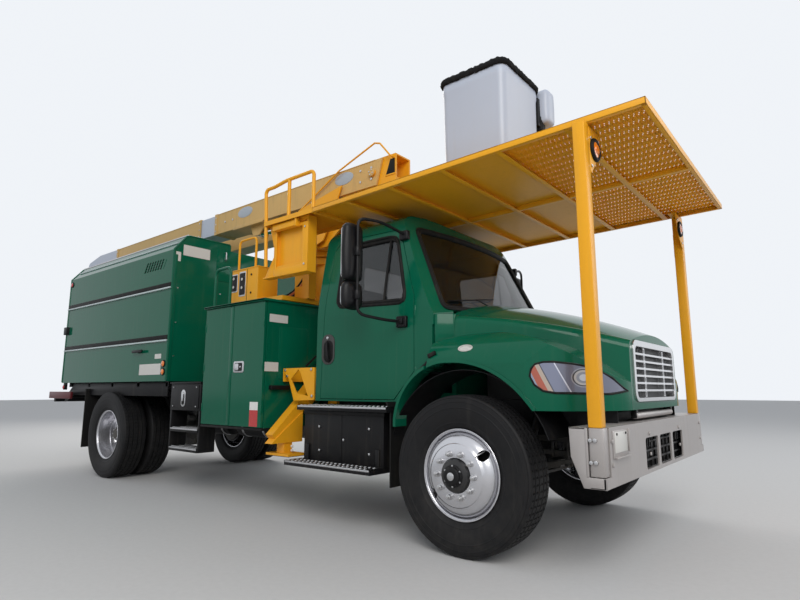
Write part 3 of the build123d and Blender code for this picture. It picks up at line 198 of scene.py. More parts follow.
def finish(name, colour, roughness, metallic=0.0, coat=0.0, tone=0.1, dust=0.35, dust_height=1.1, streaks=0.05,
           ripple=60.0, pebble=400.0, pebble_share=0.3, relief=0.05, depth=0.0006, specular=0.5, edge=EDGE_ROUND,
           dust_colour=DUST):
    """A weathered opaque finish with softened edges."""
    look, tree, shader = new_look(name)
    wear = node(tree, "ShaderNodeGroup", {
        "Colour": (*colour, 1), "Dust Colour": dust_colour, "Tone": tone, "Dust": dust, "Dust Height": dust_height,
        "Streaks": streaks, "Roughness": roughness}, node_tree=shared("Weathered", weathered_group)).outputs
    grain = node(tree, "ShaderNodeGroup",
                 {"Ripple Scale": ripple, "Pebble Scale": pebble, "Pebble Share": pebble_share},
                 node_tree=shared("Grain", grain_group))
    bump = node(tree, "ShaderNodeBump", {"Strength": relief, "Distance": depth, "Height": grain.outputs["Height"]})
    if edge:
        feed(tree, bump, {"Normal": node(tree, "ShaderNodeBevel", {"Radius": edge}, samples=4).outputs["Normal"]})
    feed(tree, shader, {"Base Color": wear["Colour"], "Roughness": wear["Roughness"], "Normal": bump.outputs["Normal"],
                        "Metallic": metallic, "Coat Weight": coat, "Coat Roughness": 0.05,
                        "Specular IOR Level": specular})
    return look


def shaded_sheet_glass(name):
    """Thin dark window glass: half clear, with faint smears."""
    look, tree, shader = new_look(name)
    share, smear = 0.52, 0.06
    film = spread(tree, cloudy(tree, own_place(tree), 4.0, 7.0), 0.4, 0.8, share, share + smear)
    # The near-black base colour is painted shade standing for the dark cab inside.
    feed(tree, shader, {"Alpha": film, "Base Color": (0.008, 0.010, 0.012, 1), "Roughness": 0.02,
                        "Specular IOR Level": 0.9})
    return look


# The headlamp's inside, as steps of colour: slanted bands behind each other, and rings round the bowl's middle. Apart
# from the reflector's amber and red end, the steps are painted highlights, reflections and shade on the chrome
LAMP_REFLECTION_BANDS = ((0.500, (0.26, 0.31, 0.40)), (0.528, (0.40, 0.090, 0.050)), (0.572, (0.44, 0.36, 0.30)),
              (0.597, (0.07, 0.075, 0.10)), (0.604, (0.19, 0.21, 0.30)), (0.684, (0.62, 0.64, 0.74)),
              (0.691, (0.15, 0.16, 0.22)))
BOWL_REFLECTION_RINGS = ((0.000, (0.55, 0.56, 0.60)), (0.020, (0.26, 0.27, 0.31)), (0.034, (0.46, 0.44, 0.43)),
              (0.046, (0.05, 0.05, 0.060)), (0.053, (0.30, 0.31, 0.36)), (0.060, (0.0, 0.0, 0.0)))
BOWL_X, BOWL_Z, BOWL_RADIUS = 0.79, 1.15, 0.06


def stepped(tree, value, bands, low, high):
    """Colour that changes in steps with a value."""
    ramp = node(tree, "ShaderNodeValToRGB", {"Fac": spread(tree, value, low, high)})
    ramp.color_ramp.interpolation = "CONSTANT"
    stops = ramp.color_ramp.elements
    stops.remove(stops[1])
    stops[0].position = 0.0
    stops[0].color = (*bands[0][1], 1)
    for place, colour in bands[1:]:
        stops.new((place - low) / (high - low)).color = (*colour, 1)
    return ramp.outputs["Color"]


def lamp_reflections_group():
    """The inside of a headlamp as it shows through its lens: amber end, slanted bezels and a round bowl."""
    tree, given, out = group_tree("Lamp inside with painted reflections", {"Bowl X": BOWL_X, "Bowl Z": BOWL_Z}, {"Colour": "Color"})
    place = node(tree, "ShaderNodeSeparateXYZ", {0: own_place(tree)}).outputs
    along = calc(tree, "SUBTRACT", place["X"], AXLE_X)
    slant = 0.45
    slanted = calc(tree, "MULTIPLY_ADD", calc(tree, "SUBTRACT", place["Z"], BOWL_Z), slant, along)
    bands = stepped(tree, slanted, LAMP_REFLECTION_BANDS, 0.5, 0.95)
    offset = node(tree, "ShaderNodeCombineXYZ", {0: calc(tree, "SUBTRACT", along, given["Bowl X"]), 1: 0.0,
                                                 2: calc(tree, "SUBTRACT", place["Z"], given["Bowl Z"])})
    distance = node(tree, "ShaderNodeVectorMath", {0: offset.outputs[0]}, operation="LENGTH").outputs["Value"]
    rings = stepped(tree, distance, BOWL_REFLECTION_RINGS, 0.0, 0.1)
    feed(tree, out, {"Colour": mixed(tree, calc(tree, "LESS_THAN", distance, BOWL_RADIUS), bands, rings)})
    return tree


def lamp_finish(name):
    """A headlamp behind its clear lens."""
    look, tree, shader = new_look(name)
    inside = node(tree, "ShaderNodeGroup", node_tree=shared("Lamp inside with painted reflections", lamp_reflections_group))
    feed(tree, shader, {"Base Color": inside.outputs["Colour"], "Roughness": 0.3, "Metallic": 0.3, "Coat Weight": 0.8,
                        "Coat Roughness": 0.02})
    return look


GREEN = (0.002, 0.104, 0.056)
YELLOW = (0.82, 0.38, 0.014)
BOOM_TAN = (0.60, 0.39, 0.14)

# Each finish: its colour, or the name of one of the truck's paints, its roughness and what differs from a plain one
FINISHES = {
    "green_paint": ("body", 0.12, dict(tone=0.14, dust=0.1, streaks=0.02, ripple=220, relief=0.02, pebble_share=0.0,
                                       specular=0.2)),
    "yellow_paint": ("steelwork", 0.34, dict(tone=0.16, dust=0.3, streaks=0.14, ripple=90, relief=0.06, specular=0.3,
                                             dust_colour=(0.42, 0.26, 0.08, 1))),
    "boom_paint": ("boom", 0.42, dict(tone=0.22, dust=0.2, streaks=0.25, ripple=70, relief=0.08, specular=0.3,
                                      dust_colour=(0.30, 0.22, 0.12, 1))),
    # Darker than black steel is: painted shade.
    "black_steel": ((0.006, 0.006, 0.007), 0.42, dict(tone=0.3, dust=0.05, relief=0.15, ripple=120, specular=0.2)),
    "silver_paint": ((0.40, 0.375, 0.365), 0.38, dict(metallic=0.4, tone=0.14, dust=0.2, streaks=0.12, ripple=140,
                                                      relief=0.08)),
    "wheel_steel": ((0.60, 0.60, 0.63), 0.24, dict(metallic=0.85, tone=0.08, dust=0.08, streaks=0.0, ripple=90,
                                                   relief=0.04, dust_colour=(0.36, 0.33, 0.29, 1))),
    "cast_parts": ((0.045, 0.044, 0.043), 0.6, dict(tone=0.4, dust=0.6, relief=0.5, depth=0.0012, pebble=260,
                                                    pebble_share=0.6)),
    # Darker than tyre rubber is: painted shade.
    "tyre_rubber": ((0.008, 0.008, 0.009), 0.58, dict(tone=0.25, dust=0.09, dust_height=1.3, relief=0.25, pebble=700,
                                                      pebble_share=0.6, specular=0.22, edge=0.0015,
                                                      dust_colour=(0.16, 0.145, 0.125, 1))),
    # Darker than black rubber is: painted shade.
    "black_rubber": ((0.007, 0.007, 0.007), 0.6, dict(tone=0.25, dust=0.05, relief=0.3, specular=0.2, pebble=500,
                                                      pebble_share=0.7)),
    # Darker than black plastic is: painted shade.
    "black_plastic": ((0.006, 0.006, 0.007), 0.38, dict(tone=0.15, dust=0.05, relief=0.3, specular=0.22, pebble=900,
                                                        pebble_share=0.9)),
    "cab_trim": ((0.13, 0.112, 0.095), 0.62, dict(tone=0.15, dust=0.0, relief=0.5, pebble=900, pebble_share=0.9)),
    "hub_paint": ((0.014, 0.014, 0.015), 0.34, dict(tone=0.2, dust=0.08, relief=0.2)),
    # The expanded metal's yellow is lighter than the canopy's paint: painted sunlight on the strands.
    "sunlit_mesh_paint": ((0.88, 0.50, 0.025), 0.45, dict(dust=0.0, relief=0.0, specular=0.2, edge=0.0)),
    "seat_cloth": ((0.045, 0.045, 0.05), 0.85, dict(tone=0.3, dust=0.0, relief=0.7, pebble=700, pebble_share=1.0,
                                                    depth=0.001)),
    "grille_metal": ((0.66, 0.66, 0.67), 0.2, dict(metallic=0.9, tone=0.06, dust=0.15, relief=0.03, edge=0.002)),
    "tank_metal": ((0.62, 0.62, 0.63), 0.3, dict(metallic=0.9, tone=0.15, dust=0.4, ripple=40, relief=0.1)),
    # The bucket's white shell is darkened and tinted blue: painted shade with sky light on it.
    "white_shell": ((0.47, 0.52, 0.62), 0.36, dict(tone=0.06, dust=0.2, streaks=0.07, ripple=35, relief=0.06,
                                                   dust_colour=(0.45, 0.42, 0.36, 1))),
    "amber_lens": ((0.80, 0.20, 0.012), 0.15, dict(coat=1.0, dust=0.1, pebble=150, pebble_share=1.0, relief=0.3,
                                                   edge=0.0)),
    "red_lens": ((0.50, 0.012, 0.010), 0.15, dict(coat=1.0, dust=0.1, pebble=150, pebble_share=1.0, relief=0.3,
                                                  edge=0.0)),
    "white_paint": ((0.74, 0.74, 0.73), 0.4, dict(tone=0.06, dust=0.2, relief=0.03)),
    "steel_rod": ((0.72, 0.72, 0.73), 0.12, dict(metallic=1.0, tone=0.05, dust=0.1, relief=0.02)),
    "bright_steel": ((0.55, 0.55, 0.56), 0.3, dict(metallic=1.0, tone=0.15, dust=0.3, relief=0.1, edge=0.001)),
    # A pale painted highlight for the chip box's ledge lips and chamfer rail.
    "pale_highlight_trim": ((0.50, 0.58, 0.58), 0.3, dict(metallic=0.3, dust=0.2, relief=0.03)),
    "oval_plate": ((0.38, 0.42, 0.46), 0.35, dict(metallic=0.3, dust=0.2)),
    "red_bar": ((0.10, 0.008, 0.012), 0.4, dict(tone=0.2, dust=0.4, relief=0.1)),
    "pile": ((0.010, 0.010, 0.011), 0.9, dict(tone=0.3, dust=0.0, relief=1.0, depth=0.006, ripple=90, pebble=160,
                                              pebble_share=0.6, edge=0.0, specular=0.2)),
    "mirror_glass": ((0.5, 0.52, 0.54), 0.05, dict(metallic=1.0, tone=0.04, dust=0.05, relief=0.01, edge=0.0)),
    "sign_plate": ((0.62, 0.61, 0.58), 0.35, dict(tone=0.05, dust=0.15, relief=0.03)),
    "orange_hose": ((0.62, 0.14, 0.02), 0.5, dict(tone=0.15, dust=0.2, relief=0.2)),
}
SPECIAL_FINISHES = {"lamp_lens": lamp_finish, "window_glass": shaded_sheet_glass}
MADE = {}


def material(name):
    """The finish of this name, built when it is first asked for."""
    if name not in MADE:
        if name in SPECIAL_FINISHES:
            MADE[name] = SPECIAL_FINISHES[name](name)
        else:
            colour, roughness, more = FINISHES[name]
            paint = getattr(truck_colours(), colour) if isinstance(colour, str) else colour
            MADE[name] = finish(name, paint, roughness, **more)
    return MADE[name]


# Mesh building: each function gives a bmesh of one closed form


def cuboid(x, y, z):
    """A box from its spans."""
    form = bmesh.new()
    centre = Vector([sum(span) / 2 for span in (x, y, z)])
    size = [high - low for low, high in (x, y, z)]
    bmesh.ops.create_cube(form, size=1, matrix=Matrix.Translation(centre) @ Matrix.Diagonal((*size, 1)))
    return form


def aimed(start, end):
    """The matrix that stands a form drawn along Z on the middle of a line."""
    start, end = Vector(start), Vector(end)
    turn = (end - start).to_track_quat("Z", "Y").to_matrix().to_4x4()
    return Matrix.Translation((start + end) / 2) @ turn


def rod(start, end, radius, steps=24, tip=None):
    """A round bar between two points, or a cone when its tip has another radius."""
    form = bmesh.new()
    length = (Vector(end) - Vector(start)).length
    bmesh.ops.create_cone(form, cap_ends=True, segments=steps, radius1=radius, radius2=radius if tip is None else tip,
                          depth=length, matrix=aimed(start, end))
    return form


AXES = {"x": Vector((1, 0, 0)), "y": Vector((0, 1, 0)), "z": Vector((0, 0, 1))}


def seen_along(axis, a, b, depth=0.0):
    """The point drawn as (Y, Z), (X, Z) or (X, Y) when seen along an axis."""
    return Vector({"x": (depth, a, b), "y": (a, depth, b), "z": (a, b, depth)}[axis])


def slab(outline, axis, start, stop):
    """A flat outline, as seen along an axis, given thickness along it."""
    form = bmesh.new()
    face = form.faces.new([form.verts.new(seen_along(axis, a, b, start)) for a, b in outline])
    grown = bmesh.ops.extrude_face_region(form, geom=[face])["geom"]
    moved = [v for v in grown if isinstance(v, bmesh.types.BMVert)]
    bmesh.ops.translate(form, verts=moved, vec=AXES[axis] * (stop - start))
    return form


def spun(profile, centre=(0, 0, 0), axis="y", steps=96, closed=True):
    """A profile of (distance along the axis, radius) turned about the axis."""
    form = bmesh.new()
    across = {"x": "z", "y": "z", "z": "x"}[axis]
    points = [form.verts.new(Vector(centre) + AXES[axis] * along + AXES[across] * radius)
              for along, radius in profile]
    pairs = list(zip(points, points[1:]))
    if closed:
        pairs.append((points[-1], points[0]))
    edges = [form.edges.new(pair) for pair in pairs]
    bmesh.ops.spin(form, geom=points + edges, cent=centre, axis=AXES[axis], angle=math.tau, steps=steps,
                   use_merge=True)
    bmesh.ops.remove_doubles(form, verts=form.verts, dist=1e-6)
    return form


def pipe(points, radius, steps=10, smooth=True, closed=False):
    """A round tube along points, on a smooth line or in straight runs, open or as a ring."""
    curve = bpy.data.curves.new("pipe", "CURVE")
    curve.dimensions = "3D"
    curve.bevel_depth = radius
    curve.bevel_resolution = max(1, steps // 4)
    curve.use_fill_caps = True
    curve.resolution_u = 8 if smooth else 1
    spline = curve.splines.new("NURBS" if smooth else "POLY")
    spline.points.add(len(points) - 1)
    for index, point in enumerate(points):
        spline.points[index].co = (*point, 1)
    spline.use_cyclic_u = closed
    if smooth:
        spline.order_u = 3
        spline.use_endpoint_u = not closed
    holder = bpy.data.objects.new("pipe", curve)
    mesh = bpy.data.meshes.new_from_object(holder)
    form = bmesh.new()
    form.from_mesh(mesh)
    bmesh.ops.remove_doubles(form, verts=form.verts, dist=1e-6)
    bpy.data.objects.remove(holder)
    bpy.data.curves.remove(curve)
    bpy.data.meshes.remove(mesh)
    return form


def softened(points, bend, closed=False):
    """A line with each corner rounded by a short curve."""
    points = [Vector(point) for point in points]
    count = len(points)
    path = [] if closed else [points[0]]
    for index in range(count) if closed else range(1, count - 1):
        corner = points[index]
        come = points[index - 1] - corner
        leave = points[(index + 1) % count] - corner
        come *= min(bend / come.length, 0.5)
        leave *= min(bend / leave.length, 0.5)
        for share in (0.0, 0.25, 0.5, 0.75, 1.0):
            path.append(corner + come * (1 - share) ** 2 + leave * share ** 2)
    return path if closed else path + [points[-1]]


def bent_bar(points, radius, bend, steps=10):
    """A tube in straight runs with rounded corners."""
    return pipe(softened(points, bend), radius, steps, smooth=False)


def hoop(points, radius, steps=8):
    """A tube through points that closes on itself."""
    return pipe(points, radius, steps, False, True)


def finely(points, pitch, closed=True):
    """A line's points with more between them, no further apart than the pitch."""
    points = [Vector(point) for point in points]
    path = []
    for start, end in zip(points, points[1:] + points[:1] if closed else points[1:]):
        count = max(1, math.ceil((end - start).length / pitch))
        path += [start.lerp(end, index / count) for index in range(count)]
    return path if closed else path + [points[-1]]


def ellipse(count, centre, half_width, half_height):
    """Points on an ellipse."""
    turns = [math.tau * index / count for index in range(count)]
    return [(centre[0] + half_width * math.cos(turn), centre[1] + half_height * math.sin(turn)) for turn in turns]


SKINS = {}
FAR = 6.0


def skin_hit(name, start, way):
    """Where a line from a point first meets a CAD node, measured from the front axle."""
    if name not in SKINS:
        mesh = frame["nodes"][name].data
        corners = [vertex.co - Vector((AXLE_X, 0, 0)) for vertex in mesh.vertices]
        SKINS[name] = BVHTree.FromPolygons(corners, [face.vertices for face in mesh.polygons])
    return SKINS[name].ray_cast(Vector(start), Vector(way))[0]


def seen_spot(name, axis, a, b, lift, sign=1):
    """The point a little above a node's skin where it is seen along an axis."""
    way = AXES[axis] * -sign
    hit = skin_hit(name, seen_along(axis, a, b) - way * FAR, way)
    return None if hit is None else hit - way * lift


def laid(name, outline, axis="y", pitch=0.04, closed=True, lift=0.0):
    """A line drawn in (X, Z), (Y, Z) or (X, Y) laid on a node as it is seen along an axis."""
    spots = [seen_spot(name, axis, *tuple(point)[:2], lift)
             for point in finely([(*tuple(point)[:2], 0) for point in outline], pitch, closed)]
    return [spot for spot in spots if spot is not None]


def skin_patch(name, a_span, b_span, axis, lift, thickness, steps):
    """A sheet of even thickness that follows a node's surface."""
    form = bmesh.new()
    rows = []
    for i in range(steps[0] + 1):
        a = a_span[0] + (a_span[1] - a_span[0]) * i / steps[0]
        spots = [seen_spot(name, axis, a, b_span[0] + (b_span[1] - b_span[0]) * j / steps[1], lift)
                 for j in range(steps[1] + 1)]
        rows.append([None if spot is None else form.verts.new(spot) for spot in spots])
    for low, high in zip(rows, rows[1:]):
        for corners in zip(low, low[1:], high[1:], high):
            if None not in corners:
                form.faces.new(corners)
    bmesh.ops.solidify(form, geom=form.faces[:], thickness=thickness)
    return form


def filled(ring):
    """A thin plate inside a ring of points."""
    form = bmesh.new()
    form.faces.new([form.verts.new(point) for point in ring])
    bmesh.ops.solidify(form, geom=form.faces[:], thickness=0.004)
    return form


def soft_box(x, y, z, puff=0.0, cuts=6, edge=0.03):
    """A box with round edges whose faces swell outwards."""
    form = cuboid(x, y, z)
    bmesh.ops.bevel(form, geom=form.edges[:], offset=edge, offset_type="OFFSET", segments=3, profile=0.5,
                    affect="EDGES", clamp_overlap=True, material=-1)
    if puff:
        bmesh.ops.subdivide_edges(form, edges=[e for e in form.edges if e.calc_length() > 3 * edge], cuts=cuts,
                                  use_grid_fill=True)
        core = Vector((sum(x) / 2, sum(y) / 2, sum(z) / 2))
        half = Vector((x[1] - x[0], y[1] - y[0], z[1] - z[0])) / 2
        for vertex in form.verts:
            share = vertex.co - core
            for axis in range(3):
                others = [abs(share[k]) / half[k] for k in range(3) if k != axis]
                if abs(share[axis]) > half[axis] * 0.8:
                    swell = max(0.0, 1 - others[0] ** 2) * max(0.0, 1 - others[1] ** 2)
                    vertex.co[axis] += math.copysign(puff * swell, share[axis])
    return form


PILE_SEED = 2


def ragged_ring(outline, inner, z, depth, shake):
    """A thick band round an outline whose surface is shaken like pile or fur."""
    noise.seed_set(PILE_SEED)
    form = bmesh.new()
    rings = []
    outer = finely([(*point, 0.0) for point in outline], 0.016)
    centre = sum(outer, Vector()) / len(outer)
    profile = ((inner, depth), (inner, 0.0), (inner * 0.5, -0.012), (0.0, -0.006), (-0.012, depth * 0.35),
               (-0.010, depth * 0.75), (0.0, depth * 1.1))
    for point in outer:
        inward = (centre - point).normalized()
        ring = []
        for reach, drop in profile:
            place = point + inward * reach + Vector((0, 0, z - drop))
            ring.append(form.verts.new(place + noise.noise_vector(place * 45.0) * shake))
        rings.append(ring)
    for here, there in zip(rings, rings[1:] + rings[:1]):
        for i in range(len(profile)):
            k = (i + 1) % len(profile)
            form.faces.new((here[i], here[k], there[k], there[i]))
    return form


def rounded(width, height, radius, centre=(0, 0), steps=5):
    """The outline of a rectangle with round corners."""
    outline = []
    for corner, (sx, sy) in enumerate(((1, 1), (-1, 1), (-1, -1), (1, -1))):
        cx = centre[0] + sx * (width / 2 - radius)
        cy = centre[1] + sy * (height / 2 - radius)
        for step in range(steps + 1):
            angle = math.pi / 2 * (corner + step / steps)
            outline.append((cx + radius * math.cos(angle), cy + radius * math.sin(angle)))
    return outline


def placed(name, data):
    """A new object of this data in the scene."""
    item = bpy.data.objects.new(name, data)
    bpy.context.collection.objects.link(item)
    return item


def as_object(name, form):
    """A bmesh as an object."""
    item = placed(name, bpy.data.meshes.new(name))
    form.to_mesh(item.data)
    return item


def carved(form, *cutters):
    """Cut closed forms out of another with the Boolean modifier."""
    body = as_object("body", form)
    tools = []
    for cutter in cutters:
        bmesh.ops.recalc_face_normals(cutter, faces=cutter.faces)
        tools.append(as_object("tool", cutter))
        cut = body.modifiers.new("cut", "BOOLEAN")
        cut.operation = "DIFFERENCE"
        cut.solver = "EXACT"
        cut.object = tools[-1]
    mesh = bpy.data.meshes.new_from_object(body.evaluated_get(bpy.context.evaluated_depsgraph_get()))
    result = bmesh.new()
    result.from_mesh(mesh)
    for item in tools + [body]:
        bpy.data.objects.remove(item)
    return result


def sided(form, side):
    """Mirror a form drawn for the left side when it is wanted on the right."""
    if side < 0:
        bmesh.ops.transform(form, matrix=FLIP, verts=form.verts)
        bmesh.ops.reverse_faces(form, faces=form.faces)


def as_mesh(form):
    """Turn a form into a mesh, and free it."""
    mesh = bpy.data.meshes.new("part")
    form.to_mesh(mesh)
    form.free()
    return mesh


def repeated(form, mesh, places):
    """Join a mesh into a form at each of several places."""
    for place in places:
        copy = mesh.copy()
        copy.transform(place)
        if place.determinant() < 0:
            copy.flip_normals()
        form.from_mesh(copy)
        bpy.data.meshes.remove(copy)
    bpy.data.meshes.remove(mesh)


class Piece:
    """One piece in the making: its mesh, the finishes on its faces, and the finish it uses unless told."""

    def __init__(self, name, look="black_steel"):
        self.name = name
        self.look = look
        self.form = bmesh.new()
        self.finishes = []

    def add(self, part, look=None, edge=0.0, both=False, spin=None):
        """Take in a form with its finish, its edges bevelled, on one side or both, once or placed by matrices."""
        look = look or self.look
        if look not in self.finishes:
            self.finishes.append(look)
        bmesh.ops.recalc_face_normals(part, faces=part.faces)
        if edge:
            sharp = [e for e in part.edges if len(e.link_faces) == 2 and e.calc_face_angle(0) > SHARP_TURN]
            bmesh.ops.bevel(part, geom=sharp, offset=edge, offset_type="OFFSET", segments=2, profile=0.5,
                            affect="EDGES", clamp_overlap=True, material=-1)
        for face in part.faces:
            face.material_index = self.finishes.index(look)
        places = spin or [Matrix.Identity(4)]
        repeated(self.form, as_mesh(part), places + [FLIP @ place for place in places] if both else places)
        return self

    def boxes(self, rows, look=None, both=False):
        """Add boxes, each given as its spans in x, y and z and the width of its bevels."""
        for x, y, z, edge in rows:
            self.add(cuboid(x, y, z), look, edge, both)

    def rods(self, rows, look=None, both=False):
        """Add round bars, each given as its ends, radius, steps and the width of its bevels."""
        for start, end, radius, steps, edge in rows:
            self.add(rod(start, end, radius, steps), look, edge, both)

    def plates(self, axis, rows, look=None, both=False):
        """Add round-cornered plates: width, height, corner radius, middle, span along the axis, bevel, look."""
        for width, height, radius, centre, span, edge, *own in rows:
            self.add(slab(rounded(width, height, radius, centre), axis, *span), own[0] if own else look, edge, both)

    def ride(self, body, replaces=(), slot=None, angle=32, side=1):
        """Turn the mesh, drawn for the left side, into an object in the frame that moves with a body."""
        sided(self.form, side)
        bmesh.ops.translate(self.form, verts=self.form.verts, vec=(AXLE_X, 0, 0))
        made = as_object(self.name, self.form)
        self.form.free()
        for look in self.finishes:
            made.data.materials.append(material(look))
        made.data.shade_smooth()
        made.data.set_sharp_from_angle(angle=math.radians(angle))
        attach(made, body)
        if replaces:
            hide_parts(*replaces)
        return made


SHARP_TURN = 0.6


def hexagon(start, end, radius):
    return rod(start, end, radius, steps=6)


def bolts(piece, points, axis, radius=0.011, height=0.009, look="bright_steel", both=False):
    """Hexagon heads that stand on points along an axis."""
    step = Vector(axis) * height
    for point in points:
        piece.add(hexagon(point, Vector(point) + step, radius), look, edge=0.0012, both=both)


def around(count, radius, centre, phase=0.0):
    """Points on a circle about the Y axis."""
    for index in range(count):
        angle = math.tau * index / count + phase
        yield Vector((centre[0] + radius * math.sin(angle), centre[1], centre[2] + radius * math.cos(angle)))


# Stage


def pale_backdrop(tree, shade):
    """Where a plain bright tone shows, to the camera and in reflections, and that tone."""
    path = node(tree, "ShaderNodeLightPath").outputs
    seen = calc(tree, "MAXIMUM", path["Is Camera Ray"], path["Is Transmission Ray"])
    seen = calc(tree, "MAXIMUM", seen, path["Is Glossy Ray"])
    return seen, node(tree, "ShaderNodeBackground", {"Color": shade, "Strength": 1.0}).outputs[0]


def make_world():
    world = bpy.data.worlds.new("studio")
    bpy.context.scene.world = world
    world.use_nodes = True
    tree = world.node_tree
    light = tree.nodes["Background"]
    feed(tree, light, {"Color": (0.90, 0.94, 1.0, 1), "Strength": 0.5})
    seen, tone = pale_backdrop(tree, (0.87, 0.90, 0.94, 1))
    both = node(tree, "ShaderNodeMixShader", {0: seen, 1: light.outputs[0], 2: tone})
    feed(tree, tree.nodes["World Output"], {"Surface": both.outputs[0]})


def make_floor():
    form = bmesh.new()
    bmesh.ops.create_grid(form, x_segments=2, y_segments=2, size=60.0)
    floor = as_object("floor", form)
    form.free()
    look, tree, shader = new_look("pale_floor")
    tint = spread(tree, cloudy(tree, own_place(tree), 25.0, 8.0), 0.0, 1.0, 0.56, 0.62)
    colour = node(tree, "ShaderNodeCombineColor", {0: tint, 1: tint, 2: tint})
    feed(tree, shader, {"Base Color": colour.outputs[0], "Roughness": 0.8})
    floor.data.materials.append(look)


def turned(holder, place, way):
    """Stand a lamp or camera at a place, looking a way."""
    holder.location = place
    holder.rotation_mode = "QUATERNION"
    holder.rotation_quaternion = Vector(way).to_track_quat("-Z", "Y")


def make_lamp(name, place, target, size, power, colour=(1, 1, 1)):
    lamp = bpy.data.lights.new(name, "AREA")
    lamp.energy = power
    lamp.size = size
    lamp.color = colour
    turned(placed(name, lamp), place, Vector(target) - Vector(place))


def make_camera():
    camera = bpy.data.cameras.new("camera")
    camera.sensor_width = SENSOR
    camera.lens = FOCAL_PIXELS / IMAGE_WIDTH * SENSOR
    camera.clip_start = 0.05
    camera.clip_end = 200
    holder = placed("camera", camera)
    yaw, pitch = math.radians(EYE_YAW), math.radians(EYE_PITCH)
    turned(holder, (EYE[0] + AXLE_X, EYE[1], EYE[2]),
           (math.cos(yaw) * math.cos(pitch), math.sin(yaw) * math.cos(pitch), math.sin(pitch)))
    bpy.context.scene.camera = holder


# Tyres and wheels


def tyre_profile():
    """(distance from the tyre's middle, radius) from one bead over the tread to the other."""
    flank = [(0.0950, 0.2880), (0.1020, 0.2990), (0.1085, 0.3060), (0.1120, 0.3110), (0.1135, 0.3160),
             (0.1195, 0.3240), (0.1230, 0.3330), (0.1250, 0.3350), (0.1262, 0.3390), (0.1255, 0.3420),
             (0.1300, 0.3580), (0.1340, 0.3750), (0.1370, 0.3920), (0.1390, 0.4120), (0.1395, 0.4300),
             (0.1412, 0.4325), (0.1412, 0.4375), (0.1394, 0.4400), (0.1388, 0.4560), (0.1378, 0.4700),
             (0.1392, 0.4718), (0.1388, 0.4755), (0.1370, 0.4770), (0.1352, 0.4880), (0.1335, 0.4960),
             (0.1305, 0.4975), (0.1302, 0.5005), (0.1318, 0.5020), (0.1290, 0.5100), (0.1240, 0.5155),
             (0.1160, 0.5185)]
    groove = 0.013
    tread = [(0.0850, 0.5203), (0.0840, 0.5203 - groove), (0.0750, 0.5203 - groove), (0.0740, 0.5208),
             (0.0345, 0.5216), (0.0335, 0.5216 - groove), (0.0245, 0.5216 - groove), (0.0235, 0.5219)]
    half = flank + tread
    return [(-w, r) for w, r in half] + [(w, r) for w, r in reversed(half)]


def tyre(y):
    """A road tyre about the axle line, with ribs, shoulder notches and small slots in its tread."""
    steps = 150
    form = spun(tyre_profile(), steps=steps)
    bmesh.ops.recalc_face_normals(form, faces=form.faces)
    slots = []
    for face in form.faces:
        middle_point = face.calc_center_median()
        radius = math.hypot(middle_point.x, middle_point.z)
        across = abs(middle_point.y)
        turn = int((math.atan2(middle_point.x, middle_point.z) % math.tau) / math.tau * steps)
        if radius > 0.5185 and (0.09 < across < 0.115 or across < 0.07) and turn % 2 == 0:
            slots.append(face)
    bmesh.ops.inset_individual(form, faces=slots, thickness=0.0065, depth=0)
    bmesh.ops.inset_individual(form, faces=slots, thickness=0.0004, depth=-0.006)
    bmesh.ops.translate(form, verts=form.verts, vec=(0, y, 0))
    return form


def disc_wheel(y, outboard):
    """A steel disc wheel: rim with rolled flanges, bowl with two hand holes, and a flat nut face."""
    flange = [(0.1145, 0.2890), (0.1150, 0.2955), (0.1130, 0.2978), (0.1100, 0.2972), (0.1065, 0.2925),
              (0.1030, 0.2880), (0.0960, 0.2866)]
    under = [(0.0960, 0.2780), (0.1040, 0.2795), (0.1085, 0.2835), (0.1110, 0.2885)]
    rim = flange + [(-w, r) for w, r in reversed(flange)] + [(-w, r) for w, r in reversed(under)] + under
    bowl = [(0.050, 0.2790), (0.066, 0.2790), (0.086, 0.2765), (0.108, 0.2680), (0.128, 0.2550), (0.143, 0.2380),
            (0.152, 0.2200), (0.156, 0.2080), (0.161, 0.2035), (0.165, 0.2010), (DISC_OUTSET, 0.1950),
            (DISC_OUTSET, 0.1130), (0.165, 0.1100), (0.156, 0.1100), (0.156, 0.1950), (0.146, 0.2050),
            (0.134, 0.2310), (0.118, 0.2470), (0.098, 0.2590), (0.076, 0.2670), (0.050, 0.2690)]
    disc = spun(bowl, steps=96)
    bmesh.ops.recalc_face_normals(disc, faces=disc.faces)
    cutters = [rod(point, point + Vector((0, 0.3, 0)), 0.034, steps=32)
               for point in around(2, 0.236, (0, 0, 0), math.radians(55))]
    disc = carved(disc, *cutters)
    both = spun(rim, steps=96)
    mesh = bpy.data.meshes.new("disc")
    disc.to_mesh(mesh)
    both.from_mesh(mesh)
    bpy.data.meshes.remove(mesh)
    bmesh.ops.scale(both, verts=both.verts, vec=(1, outboard, 1))
    bmesh.ops.translate(both, verts=both.verts, vec=(0, y, 0))
    return both


